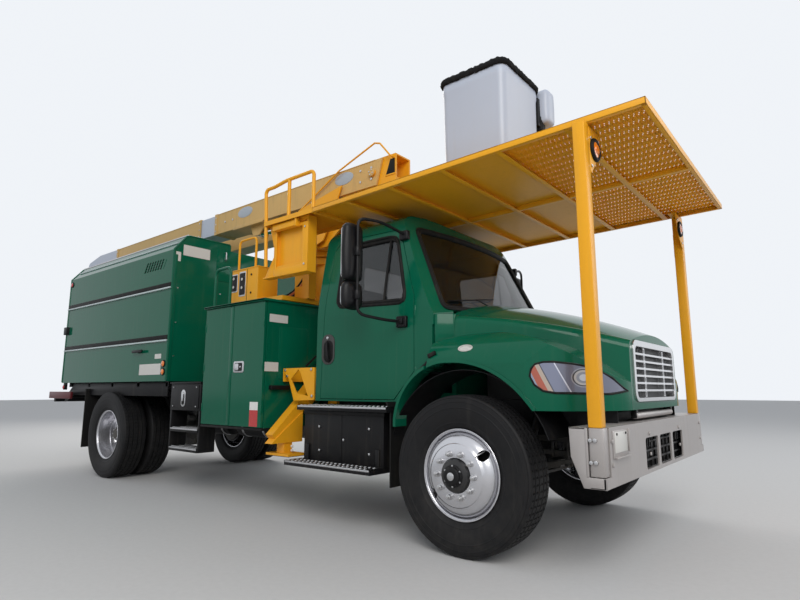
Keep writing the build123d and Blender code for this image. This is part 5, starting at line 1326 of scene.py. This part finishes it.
def make_chip_box_trims():
    """Ledges, edge trims, the vent, lamps, latch and blank plates of the chip box."""
    piece = Piece("chip_box_trim", "green_paint")
    rear, front, y = BOX_REAR, BOX_FRONT, BOX_Y
    x = (rear + 0.03, front - 0.012)
    for z in LEDGES:
        # Above each ledge a black band, painted shade under its overhang; below, a lip in a pale painted highlight.
        piece.boxes([(x, (y + 0.004, y + 0.016), (z - 0.014, z + 0.040), 0.004)], "black_rubber", both=True)
        lip = [(y + 0.002, z - 0.034), (y + 0.026, z - 0.030), (y + 0.026, z - 0.014), (y + 0.014, z - 0.010),
               (y + 0.002, z - 0.010)]
        piece.add(slab(lip, "x", *x), "pale_highlight_trim", edge=0.003, both=True)
    for place, radius in ((front - 0.004, 0.012), (rear + 0.012 - 0.004, 0.010)):
        corner = [(place, *point) for point in ((y, BOX_LOW - 0.05), (y, BOX_SHOULDER), (1.07, BOX_ROOF - 0.012),
                                                (1.03, BOX_ROOF), (0.49, BOX_ROOF))]
        piece.add(pipe(corner, radius, 10, False), both=True)
    piece.boxes([((rear, front), (1.02, 1.065), (BOX_ROOF - 0.004, BOX_ROOF + 0.012), 0.004)], "bright_steel", True)
    # A rail along the top chamfer in the same pale painted highlight.
    piece.add(pipe([(rear + 0.1, 1.145, 2.775), (front - 0.05, 1.145, 2.775)], 0.010, 8, False), "pale_highlight_trim",
              both=True)
    # The vent's slots are drawn as short black bars: painted shade inside the openings.
    for row in range(4):
        for index in range(7):
            foot = Vector((-4.500 + index * 0.062 + row * 0.016, y + 0.001, 2.480 + row * 0.030))
            piece.add(pipe([foot, foot + Vector((0.020, 0, 0.022))], 0.0065, 6, False), "black_rubber", both=True)
    for start in (-4.52, -4.06):
        piece.add(pipe([(start, y, 2.475), (start + 0.065, y, 2.582)], 0.004, 6, False), both=True)
    piece.rods([((-4.47, y, 1.522), (-4.47, y + 0.030, 1.522), 0.020, 18, 0.003)], "black_steel", both=True)
    piece.add(soft_box((-4.60, -4.36), (y + 0.026, y + 0.048), (1.505, 1.540), 0, 2, 0.009), "black_steel", both=True)
    for place, radius, look in (((-3.905, y, 1.363), 0.036, "amber_lens"), ((-3.905, y, 1.273), 0.036, "amber_lens"),
                                ((-6.725, y, 2.600), 0.036, "red_lens"), ((-6.715, 1.205, 1.110), 0.030, "red_lens")):
        round_lamp(piece, place, radius, look)
    piece.boxes([((-6.75, -6.68), (1.175, 1.205), (1.072, 1.235), 0.003)], "black_steel", both=True)
    piece.plates("y", [(width, height, 0.006, place, (y, y + 0.0015), 0.0) for width, height, place in
                       ((0.50, 0.125, (-4.215, 1.305)), (0.145, 0.055, (-4.04, 1.450)))], "sign_plate", both=True)
    piece.plates("x", [(0.345, 0.128, 0.006, (-0.935, 2.69), (front, front + 0.0015), 0.0, "sign_plate"),
                       (0.06, 0.11, 0.006, (-1.165, 2.60), (front, front + 0.0015), 0.0, "sign_plate"),
                       (0.62, 0.40, 0.02, (-0.36, 2.59), (front, front + 0.005), 0.002, "green_paint")])
    grip = [(front, 2.66), (front + 0.035, 2.66), (front + 0.035, 2.76), (front, 2.76)]
    piece.add(bent_bar([(at_x, -0.56, z) for at_x, z in grip], 0.008, 0.02), "bright_steel")
    piece.boxes([((front, front + 0.004), (at_y - 0.02, at_y + 0.02), (BOX_LOW - 0.05, 2.62), 0.001)
                 for at_y in (-1.19, 1.19)])
    for z in (1.45, 1.83, 2.23):
        bolts(piece, [(front, at_y, z) for at_y in (-1.15, 1.15, -0.60, 0.60)], (1, 0, 0), 0.008, 0.006)
    piece.boxes([((rear - 0.004, rear + 0.10), (1.150, y + 0.040), (1.86, 1.97), 0.006)], "black_steel", both=True)
    piece.ride("bed")


def round_lamp(piece, centre, radius, look):
    """A round marker lamp with a rubber collar and a domed, ribbed lens, on both sides."""
    collar = [(0.0, 0.8), (0.0, 1.18), (0.008, 1.12), (0.010, 0.9)]
    lens = [(0.002, 0.0), (0.002, 0.9), (0.012, 0.86), (0.018, 0.6), (0.020, 0.35), (0.021, 0.0)]
    for profile, finish_name in ((collar, "black_rubber"), (lens, look)):
        piece.add(spun([(along, radius * share) for along, share in profile], centre, "y", 24), finish_name, both=True)


def make_tailgate_trims():
    """Channels, latches and reflectors on the tailgate's back."""
    piece = Piece("tailgate_trim", "green_paint")
    back = BOX_REAR - 0.036
    piece.boxes([((back - 0.020, back), (y, y + 0.06), span, 0.004)
                 for span in ((1.275, 1.935), (2.025, 2.630)) for y in (0.57, 1.10)], both=True)
    piece.boxes([((back - 0.020, back), (-0.03, 0.03), (1.275, 1.935), 0.004)])
    for z in (1.34, 1.84):
        piece.boxes([((back - 0.014, back), (0.90, 1.08), (z, z + 0.07), 0.004)], "black_steel", both=True)
        grip = [(back - 0.01, 0.93, z + 0.035), (back - 0.045, 0.95, z + 0.035), (back - 0.045, 1.05, z + 0.035)]
        piece.add(bent_bar(grip, 0.008, 0.01), "bright_steel", both=True)
        bolts(piece, [(back - 0.014, y, z + 0.035) for y in (0.915, 1.065)], (-1, 0, 0), 0.007, 0.005, both=True)
    piece.plates("x", [(0.20, 0.045, 0.006, (y, 1.230), (back - 0.0145, back - 0.012), 0.0) for y in (0.20, 0.75)],
                 "red_lens", both=True)
    piece.ride("tailgate")


def make_rear_fittings():
    """Black skirt above the rear wheels, red side bars, tail bar with its lamps, hitch eyes and stays."""
    piece = Piece("rear_fittings")
    skirt = [(-6.80, 0.90), (-6.50, 1.00), (-3.90, 1.00), (-3.90, 1.16), (-6.50, 1.16), (-6.62, 1.08), (-6.74, 1.00),
             (-6.80, 0.94)]
    piece.add(slab(skirt, "y", 1.140, 1.150), edge=0.003, both=True)
    piece.boxes([((x, x + 0.05), (0.44, 1.145), (1.00, 1.05), 0.003) for x in (-6.45, -6.2, -4.6, -4.0)], both=True)
    piece.boxes([((-7.06, -6.30), (1.236, 1.272), (0.950, 1.045), 0.006)], "red_bar", both=True)
    piece.boxes([((-7.07, -7.00), (-1.20, 1.20), (0.90, 1.03), 0.006)])
    piece.boxes([((x, x + 0.05), (0.30, 1.24), (0.96, 1.02), 0.004) for x in (-6.95, -6.62)], both=True)
    lens = [(0.0, 0.0), (0.0, 0.052), (-0.012, 0.050), (-0.018, 0.030), (-0.019, 0.0)]
    for y in (0.95, 1.08):
        piece.add(spun(lens, (-7.07, y, 0.965), "x", 28), "red_lens", both=True)
    eye = [(-0.012, 0.030), (-0.012, 0.052), (0.012, 0.052), (0.012, 0.030)]
    piece.add(spun(eye, (-6.69, 0.28, 0.80), "y", 28), both=True)
    piece.ride("chassis")


def make_locker():
    """The side locker with its latched door, and the ladder under it."""
    piece = Piece("locker_ladder")
    y = -1.165
    piece.boxes([((-3.790, -3.190), (y, -0.76), (0.855, 1.150), 0.006)])
    piece.plates("y", [(0.54, 0.245, 0.02, (-3.488, 1.002), (y - 0.008, y), 0.003)])
    piece.boxes([((-3.80, -3.18), (y - 0.014, y + 0.05), (1.138, 1.158), 0.003)])
    for width, height, radius, centre, span, edge, look in (
            (0.085, 0.180, 0.040, (-3.512, 0.985), (-0.013, -0.008), 0.002, "bright_steel"),
            (0.050, 0.120, 0.022, (-3.512, 0.975), (-0.016, -0.012), 0.001, "black_rubber"),
            (0.034, 0.095, 0.014, (-3.514, 1.000), (-0.024, -0.015), 0.003, "bright_steel")):
        piece.add(slab(rounded(width, height, radius, centre, 6), "y", y + span[0], y + span[1]), look, edge)
    bolts(piece, [(x, y - 0.008, z) for x in (-3.72, -3.26) for z in (0.90, 1.10)], (0, -1, 0), 0.008, 0.006)
    piece.boxes([((x, x + 0.028), (-1.160, -0.970), (0.430, 0.860), 0.004) for x in (-3.790, -3.220)])
    for z in (0.670, 0.470):
        tread_plate(piece, (-3.770, -3.210), (-1.165, -0.960), z, 3)
    piece.boxes([((-3.76, -3.22), (-0.76, -0.432), (0.88, 0.96), 0.004)])
    piece.ride("chassis", ["step_ladder"], "black_steel")


# Pedestal, outriggers, boom and bucket


def make_platform_trims():
    """The frame round the hung box's panel, its bracket and the small brace beside it."""
    piece = Piece("platform_trim", "yellow_paint")
    x, y, z = (-2.100, -1.620), -1.130, (2.130, 2.600)
    opening = cuboid((x[0] + 0.035, x[1] - 0.075), (y - 0.05, y + 0.05), (z[0] + 0.075, z[1] - 0.030))
    piece.add(carved(cuboid(x, (y - 0.008, y + 0.002), z), opening), edge=0.003)
    piece.boxes([((x[0] + 0.01, x[1] - 0.13), (y - 0.045, y - 0.006), (2.572, 2.630), 0.004),
                 ((x[1] - 0.13, x[1] - 0.11), (y - 0.060, y - 0.006), (2.560, 2.640), 0.003)])
    piece.add(slab([(-2.235, 2.135), (-2.100, 2.135), (-2.100, 2.330)], "y", y - 0.006, y + 0.004), edge=0.002)
    piece.boxes([((-2.240, -2.100), (y - 0.02, y + 0.06), (2.128, 2.140), 0.002)])
    bolts(piece, [(x[1] - 0.038, y - 0.008, at_z) for at_z in (2.20, 2.55)], (0, -1, 0), 0.011, 0.008)
    piece.ride("chassis")


def make_control_box():
    """Gauge panels, levers, bolts and hoses of the control box."""
    piece = Piece("control_fittings", "black_rubber")
    y = -1.010
    for x0, x1, low, high in ((-2.985, -2.855, 2.090, 2.285), (-2.830, -2.715, 2.035, 2.300)):
        x, z, width, height = (x0 + x1) / 2, (low + high) / 2, x1 - x0, high - low
        piece.plates("y", [(width, height, 0.016, (x, z), (y - 0.003, y), 0.001, "bright_steel"),
                           (width * 0.84, height * 0.88, 0.014, (x, z), (y - 0.005, y - 0.002), 0.001,
                            "black_plastic")])
        for at_z in (z + 0.05, z - 0.04):
            piece.rods([((x, y - 0.004, at_z), (x, y - 0.010, at_z), 0.020, 20, 0.002)])
            piece.rods([((x, y - 0.009, at_z), (x, y - 0.011, at_z), 0.015, 20, 0.0)], "sign_plate")
    bolts(piece, [(-2.62, y, z) for z in (2.06, 2.25)], (0, -1, 0), 0.012, 0.006, "black_steel")
    piece.boxes([((-2.695, -2.690), (y - 0.002, y), (1.985, 2.315), 0.0)])
    piece.boxes([((-2.995, -2.505), (-1.016, -0.752), (2.318, 2.330), 0.003)], "yellow_paint")
    for index in range(4):
        x = -2.90 + 0.09 * index
        run = [(x, -0.76, 2.10 + 0.02 * index), (x + 0.02, -0.70, 2.06), (x + 0.05, -0.62, 2.02),
               (x + 0.10, -0.50, 2.06), (-2.60 + 0.05 * index, -0.36, 2.22), (-2.58 + 0.04 * index, -0.30, 2.42)]
        piece.add(pipe(run, 0.011, 8), "orange_hose" if index == 1 else "black_rubber")
    loop = [(x, -0.90, z) for x, z in ((-3.01, 2.325), (-3.01, 2.690), (-2.71, 2.690), (-2.71, 2.325))]
    piece.add(bent_bar(loop, 0.013, 0.06), "yellow_paint")
    piece.ride("chassis")


def make_outrigger_trims():
    """Pins, bolts and hoses of the outriggers' sleeves, and the feet's bolts."""
    piece = Piece("outrigger_fittings")
    face = 1.004
    bolts(piece, [(x, face, z) for x, z in ((-2.03, 1.255), (-1.67, 1.255), (-1.655, 1.02), (-2.00, 1.20))],
          (0, 1, 0), 0.014, 0.010, both=True)
    for x in (-2.020, -1.880):
        hose = [(x, 0.46, 1.42), (x, 0.55, 1.46), (x + 0.02, 0.66, 1.40), (x + 0.02, 0.78, 1.30)]
        piece.add(pipe(hose, 0.010, 8), "black_rubber", both=True)
    piece.ride("chassis")
    for name, side in SIDES:
        foot = Piece("foot_fittings_" + name)
        bolts(foot, [(-1.845, 1.06, 0.580), (-1.845, 1.06, 0.545)], (1, 0, 0), 0.013, 0.012, "white_paint")
        foot.boxes([((-2.092, -1.778), (0.948, 1.152), (0.496, 0.500), 0.001)])
        foot.ride("leg_" + name, side=side)


LIFT_Z = 3.225
BOOM_Y = (-0.450, -0.170)
BOOM_HALF = 0.135


def band(piece, x, width, y, z, thick):
    """A strap round a box section."""
    rings = [[(y[0] - out, z[0] - out), (y[1] + out, z[0] - out), (y[1] + out, z[1] + out), (y[0] - out, z[1] + out)]
             for out in (thick, -0.002)]
    piece.add(carved(slab(rings[0], "x", x, x + width), slab(rings[1], "x", x - 0.1, x + width + 0.1)), "boom_paint")


def make_boom_trims():
    """Blank ovals, straps, weld seams, bolts and hose runs on the lower boom."""
    piece = Piece("lower_boom_trim", "boom_paint")
    z = (LIFT_Z - BOOM_HALF, LIFT_Z + BOOM_HALF)
    y = BOOM_Y[0]
    for x, width in ((-3.60, 0.30), (-1.86, 0.27)):
        oval = ellipse(36, (x, LIFT_Z + 0.045), width / 2, 0.135 / 2)
        piece.add(slab(oval, "y", y - 0.003, y + 0.001), "oval_plate", edge=0.0012)
    for x in (-4.265, -4.660, -7.145):
        band(piece, x, 0.060, BOOM_Y, z, 0.007)
        bolts(piece, [(x + 0.03, y - 0.007, LIFT_Z + dz) for dz in (-0.09, 0.0, 0.09)], (0, -1, 0), 0.010, 0.007)
    pins = ((-3.858, 3.224), (-4.028, 3.227), (-1.47, 3.169), (-1.47, 3.29), (-1.62, 3.29), (-1.62, 3.17))
    bolts(piece, [(x, y, pin_z) for x, pin_z in pins], (0, -1, 0), 0.014, 0.008)
    piece.rods([((start, y, seam), (stop, y, seam), 0.006, 8, 0.0) for seam in (z[1] - 0.003, z[0] + 0.003)
                for start, stop in ((-4.20, -1.42), (-7.08, -4.68))])
    piece.boxes([((-3.84, -3.23), (y - 0.008, y), (z[0] - 0.016, z[0] + 0.03), 0.003)])
    for index in range(3):
        run = [(x, -0.385 + 0.035 * index, z[1] + 0.014) for x in (-1.95, -4.20, -7.55)]
        piece.add(pipe(finely(run, 0.6, False), 0.011, 8, False), "black_rubber")
    piece.boxes([((x, x + 0.025), (-0.405, -0.295), (z[1], z[1] + 0.030), 0.003)
                 for x in (-2.2, -3.0, -3.8, -5.2, -6.0, -6.8)], "black_steel")
    piece.ride("lower_boom")


def make_upper_boom_trims():
    """Straps, pins and hoses of the upper boom."""
    piece = Piece("upper_boom_trim", "boom_paint")
    for x in (-0.75, -2.4, -6.6):
        half = 0.080 + 0.048 * (-(x + 0.285) / 7.315) + 0.001
        band(piece, x, 0.05, (0.250, 0.510), (LIFT_Z - half, LIFT_Z + half), 0.006)
    for x in (-0.285, -7.600):
        piece.rods([((x, 0.508, LIFT_Z), (x, 0.520, LIFT_Z), 0.055, 28, 0.003)])
        bolts(piece, [(p.x, 0.520, p.z) for p in around(5, 0.038, (x, 0, LIFT_Z))], (0, 1, 0), 0.007, 0.005)
    hose = [(x, 0.38, z) for x, z in ((-0.42, 3.318), (-2.5, 3.333), (-5.0, 3.350), (-7.3, 3.366))]
    piece.add(pipe(hose, 0.011, 8), "black_rubber")
    piece.ride("upper_boom")


def make_turntable_trims():
    """Pin caps, bolts, the roller and the swivel's hoses on the turntable."""
    piece = Piece("turntable_trim", "boom_paint")
    pin_x, pin_z, radius = -1.45, 3.225, 0.040
    piece.rods([((pin_x, -0.470, pin_z), (pin_x, -0.484, pin_z), radius, 32, 0.003)])
    ring = around(4, radius * 0.62, (pin_x, 0, pin_z), 0.4)
    bolts(piece, [(p.x, -0.484, p.z) for p in ring], (0, -1, 0), 0.008, 0.006)
    piece.rods([((-1.900, -0.430, 2.900), (-1.900, -0.446, 2.900), 0.042, 24, 0.003)], "cast_parts")
    window = [(-1.298, 3.175), (-1.185, 3.175), (-1.185, 3.325), (-1.243, 3.325)]
    piece.add(slab(window, "y", -0.4285, -0.4245), "black_rubber", edge=0.001)
    piece.boxes([((-1.302, -1.175), (-0.432, -0.424), (3.160, 3.174), 0.001)], "yellow_paint")
    piece.rods([((-1.188, -0.405, 3.098), (-1.188, -0.215, 3.098), 0.018, 28, 0.003)], "steel_rod")
    bolts(piece, [(x, y, 2.585) for x, y in ellipse(16, (-2.55, 0.0), 0.365, 0.365)], (0, 0, 1), 0.014, 0.012)
    for index in range(4):
        dy = 0.06 * index
        run = [(x, y + dy, z) for x, y, z in ((-2.70, -0.12, 2.63), (-2.66, -0.12, 2.78), (-2.40, -0.13, 2.90),
                                              (-2.05, -0.14, 2.84), (-1.86, -0.15, 2.95))]
        piece.add(pipe(run, 0.012, 8), "orange_hose" if index == 2 else "black_rubber")
    piece.ride("turntable")


BUCKET_X = (-0.615, 0.045)
BUCKET_Y = (-0.460, 0.230)
BUCKET_TOP = 3.900


def bucket_ring(shrink):
    """The bucket's outline, drawn in by a little."""
    width, depth = [high - low - 2 * shrink for low, high in (BUCKET_X, BUCKET_Y)]
    centre = (sum(BUCKET_X) / 2, sum(BUCKET_Y) / 2)
    return rounded(width, depth, max(0.02, 0.075 - shrink * 0.6), centre, 6)


def lofted(sections):
    """A closed form through outlines of equal count: (outline, height) from first to last."""
    form = bmesh.new()
    rings = [[form.verts.new((x, y, z)) for x, y in outline] for outline, z in sections]
    for low, high in zip(rings, rings[1:]):
        for i in range(len(low)):
            k = (i + 1) % len(low)
            form.faces.new((low[i], low[k], high[k], high[i]))
    form.faces.new(list(reversed(rings[0])))
    form.faces.new(rings[-1])
    return form


def make_bucket():
    """The moulded bucket: drawn-in foot, swelling corners, a lip, a liner's edge, its mount and console."""
    piece = Piece("bucket_shell", "cast_parts")
    sections = ((0.050, 2.900), (0.030, 2.905), (0.022, 2.930), (0.010, 3.300), (0.006, 3.740), (0.000, 3.765),
                (0.000, 3.800), (0.003, 3.820), (0.002, BUCKET_TOP), (0.020, BUCKET_TOP), (0.024, 3.60),
                (0.036, 2.98), (0.060, 2.935))
    piece.add(lofted([(bucket_ring(shrink), z) for shrink, z in sections]), "white_shell")
    piece.add(soft_box((-0.052, 0.120), (0.252, 0.418), (3.560, 3.898), 0.010, 6, 0.035), "white_shell")
    piece.add(soft_box((-0.060, 0.060), (0.245, 0.330), (3.482, 3.640), 0.0, 4, 0.020), "black_rubber")
    piece.boxes([((0.000, 0.044), (0.200, 0.262), (3.520, 3.800), 0.004)], "black_steel")
    piece.rods([((-0.285, 0.205, LIFT_Z), (-0.285, 0.245, LIFT_Z), 0.085, 32, 0.005)])
    piece.rods([((-0.285, 0.215, LIFT_Z), (-0.285, 0.521, LIFT_Z), 0.030, 24, 0.002)], "steel_rod")
    piece.boxes([((x, x + 0.03), (0.196, 0.226), (3.00, 3.50), 0.004) for x in (-0.50, -0.07)])
    piece.boxes([((-0.50, -0.04), (0.200, 0.228), (3.16, 3.29), 0.004)])
    hose = [(0.02, 0.30, 3.50), (0.0, 0.28, 3.36), (-0.10, 0.24, 3.28), (-0.20, 0.24, 3.30)]
    piece.add(pipe(hose, 0.011, 8), "black_rubber")
    piece.ride("bucket", ["bucket"], "white_shell")
    rim = Piece("bucket_cover", "pile")
    rim.add(ragged_ring(bucket_ring(-0.010), 0.046, BUCKET_TOP - 0.006, 0.048, 0.011))
    rim.ride("bucket", ["bucket_rim"], "black_rubber", angle=80)


# Undercarriage


def make_undercarriage():
    """Spring clamps, shock absorbers, air tanks, the silencer with its pipe, and hose runs under the frame."""
    piece = Piece("undercarriage")
    for x, z, wide in ((0.0, 0.40, 0.07), (-5.22, 0.46, 0.10)):
        for at in (x - wide, x + wide):
            bow = [(at, 0.452, z), (at, 0.452, z + 0.22), (at, 0.532, z + 0.22), (at, 0.532, z)]
            piece.add(bent_bar(bow, 0.010, 0.02), "cast_parts", both=True)
    piece.rods([((0.16, 0.60, 0.50), (0.26, 0.50, 0.92), 0.034, 20, 0.004)], both=True)
    piece.rods([((0.12, 0.62, 0.40), (0.16, 0.60, 0.52), 0.018, 16, 0.0)], "steel_rod", both=True)
    for x in (-4.35, -3.55):
        piece.rods([((x, 0.36, 0.66), (x + 0.62, 0.36, 0.66), 0.12, 32, 0.02)], both=True)
        piece.rods([((at, 0.36, 0.66), (at + 0.03, 0.36, 0.66), 0.124, 32, 0.0) for at in (x + 0.12, x + 0.50)],
                   "bright_steel", both=True)
    piece.rods([((-2.9, -0.05, 0.66), (-1.7, -0.05, 0.66), 0.13, 32, 0.02)], "cast_parts")
    exhaust = [(-1.7, -0.05, 0.66), (-1.35, -0.05, 0.66), (-1.0, -0.35, 0.66), (-0.4, -0.38, 0.72)]
    piece.add(pipe(exhaust, 0.05, 16), "cast_parts")
    piece.rods([((0.66, 0.30, 0.66), (0.66, -0.30, 0.66), 0.045, 20, 0.003)])
    for side in (-1, 1):
        for z in [0.80 + 0.05 * index for index in range(3)]:
            line = [(0.70, 0.41), (-0.6, 0.415), (-2.0, 0.41), (-4.8, 0.41)]
            piece.add(pipe([(x, side * y, z) for x, y in line], 0.009, 6), "black_rubber")
    piece.boxes([((x, x + 0.012), (-0.62, 0.62), (0.86, 0.93), 0.002) for x in (0.72, 0.80)])
    piece.ride("chassis")


# Dressing of the CAD nodes

GRILLE_BACK = 0.9165


def slots_by_node():
    return {part["node"]: part["material_slot"] for part in frame["record"]["subparts"]}


def dress_nodes():
    """Give every CAD node the finish that its slot names."""
    for name, slot in slots_by_node().items():
        shown = frame["nodes"][name]
        shown.data.materials.clear()
        shown.data.materials.append(material(slot))
        shown.data.materials.append(material("black_plastic"))
        for face in shown.data.polygons:
            behind = name == "grille" and face.center.x < AXLE_X + GRILLE_BACK
            face.material_index = int(behind)


# Add-on


class TruckColours(bpy.types.PropertyGroup):
    """Paint colours, in linear light."""

    body: bpy.props.FloatVectorProperty(name="Body", description="Cab, hood, boxes and chip box", subtype="COLOR",
                                        size=3, min=0, max=1, default=GREEN)
    steelwork: bpy.props.FloatVectorProperty(name="Steelwork", description="Canopy, posts, deck and rails",
                                             subtype="COLOR", size=3, min=0, max=1, default=YELLOW)
    boom: bpy.props.FloatVectorProperty(name="Boom", description="Boom sections", subtype="COLOR", size=3, min=0,
                                        max=1, default=BOOM_TAN)


def truck_colours():
    return bpy.context.scene.truck_colours


class TRUCK_OT_stage(bpy.types.Operator):
    """Make the floor, the lamps, the world and the camera"""

    bl_idname = "truck.stage"
    bl_label = "Stage"

    def execute(self, context):
        context.scene.view_settings.view_transform = "Standard"
        make_world()
        make_floor()
        make_lamp("key", (AXLE_X + 6, -9, 8), (0, 0, 1.5), 7, 900, (1.0, 0.97, 0.93))
        make_lamp("fill", (AXLE_X + 9, 8, 6), (1, 0, 1.5), 8, 350)
        make_lamp("back", (-9, 6, 9), (-1, 0, 2), 8, 600, (1.0, 0.96, 0.9))
        make_camera()
        return {"FINISHED"}


class TRUCK_OT_dress(bpy.types.Operator):
    """Give the CAD nodes their finishes"""

    bl_idname = "truck.dress"
    bl_label = "Finishes"

    def execute(self, context):
        dress_nodes()
        return {"FINISHED"}


def operator_for(name, label, words, build):
    """An operator class that runs one building function."""

    def execute(self, context):
        build()
        return {"FINISHED"}

    return type("TRUCK_OT_" + name, (bpy.types.Operator,),
                {"__doc__": words, "bl_idname": "truck." + name, "bl_label": label, "execute": execute})


# Operators: (name, label, what it does, function)
BUILDS = (
    ("tyres", "Tyres", "Make the six road tyres", make_tyres),
    ("wheels", "Wheels", "Make the disc wheels with their hubs and nuts", make_wheels),
    ("canopy", "Canopy", "Make the canopy with its ribs and expanded metal", make_canopy),
    ("posts", "Posts", "Make the canopy's front posts", make_posts),
    ("markers", "Canopy lamps", "Make the lamps on the posts' gussets", make_canopy_lamps),
    ("bumper", "Bumper", "Make the bumper channel with its plate holder", make_bumper),
    ("door_trims", "Door trims", "Make handles and seals of the doors", make_door_trims),
    ("mirrors", "Mirrors", "Make the mirror sets", make_mirrors),
    ("screen_trims", "Screen trims", "Make seals, wipers and the vent panel", make_screen_trims),
    ("seats", "Seats", "Make the soft seats", make_seats),
    ("dash", "Dash", "Make the dash and the steering wheel", make_dash),
    ("hood_trims", "Hood trims", "Make lamp seals, latches and fender liners", make_hood_trims),
    ("cab_latches", "Cab fittings", "Make the hood catches and splash shields", make_cab_latches),
    ("steps", "Steps", "Make the cab steps", make_steps),
    ("tool_boxes", "Tool boxes", "Make the tool boxes' lids, latches and markers", make_tool_box_trims),
    ("chip_box", "Chip box", "Make the chip box's ledges, vent and lamps", make_chip_box_trims),
    ("tailgate", "Tailgate trims", "Make the tailgate's channels and latches", make_tailgate_trims),
    ("rear_fittings", "Rear fittings", "Make the skirt, the tail bar and its lamps", make_rear_fittings),
    ("locker", "Locker", "Make the locker and its ladder", make_locker),
    ("platform", "Platform", "Make the hung box's frame, bracket and brace", make_platform_trims),
    ("control_box", "Control box", "Make the control box's panels, levers and hoses", make_control_box),
    ("outriggers", "Outrigger fittings", "Make the outriggers' pins, bolts and hoses", make_outrigger_trims),
    ("lower_boom", "Lower boom", "Make the lower boom's straps, seams and hoses", make_boom_trims),
    ("upper_boom", "Upper boom", "Make the upper boom's straps and pins", make_upper_boom_trims),
    ("turntable", "Turntable", "Make the turntable's caps, bolts, roller and hoses", make_turntable_trims),
    ("bucket", "Bucket", "Make the bucket with its cover and console", make_bucket),
    ("undercarriage", "Undercarriage", "Make clamps, tanks and pipes under the frame", make_undercarriage),
)
OPERATORS = (TRUCK_OT_stage, TRUCK_OT_dress, *(operator_for(*row) for row in BUILDS))


class TRUCK_PT_panel(bpy.types.Panel):
    """Lists the truck's colours and pieces"""

    bl_idname = "TRUCK_PT_panel"
    bl_label = "Bucket truck"
    bl_space_type = "VIEW_3D"
    bl_region_type = "UI"
    bl_category = "Bucket truck"

    def draw(self, context):
        colours = context.scene.truck_colours
        for name in ("body", "steelwork", "boom"):
            self.layout.prop(colours, name)
        for operator in OPERATORS:
            self.layout.operator(operator.bl_idname)


CLASSES = (TruckColours, *OPERATORS, TRUCK_PT_panel)


def register():
    for item in CLASSES:
        bpy.utils.register_class(item)
    bpy.types.Scene.truck_colours = bpy.props.PointerProperty(type=TruckColours)


def unregister():
    del bpy.types.Scene.truck_colours
    for item in reversed(CLASSES):
        bpy.utils.unregister_class(item)


def main():
    register()
    bpy.ops.truck.stage()
    bpy.ops.truck.dress()
    for name, *_ in BUILDS:
        getattr(bpy.ops.truck, name)()


if __name__ == "__main__":
    main()
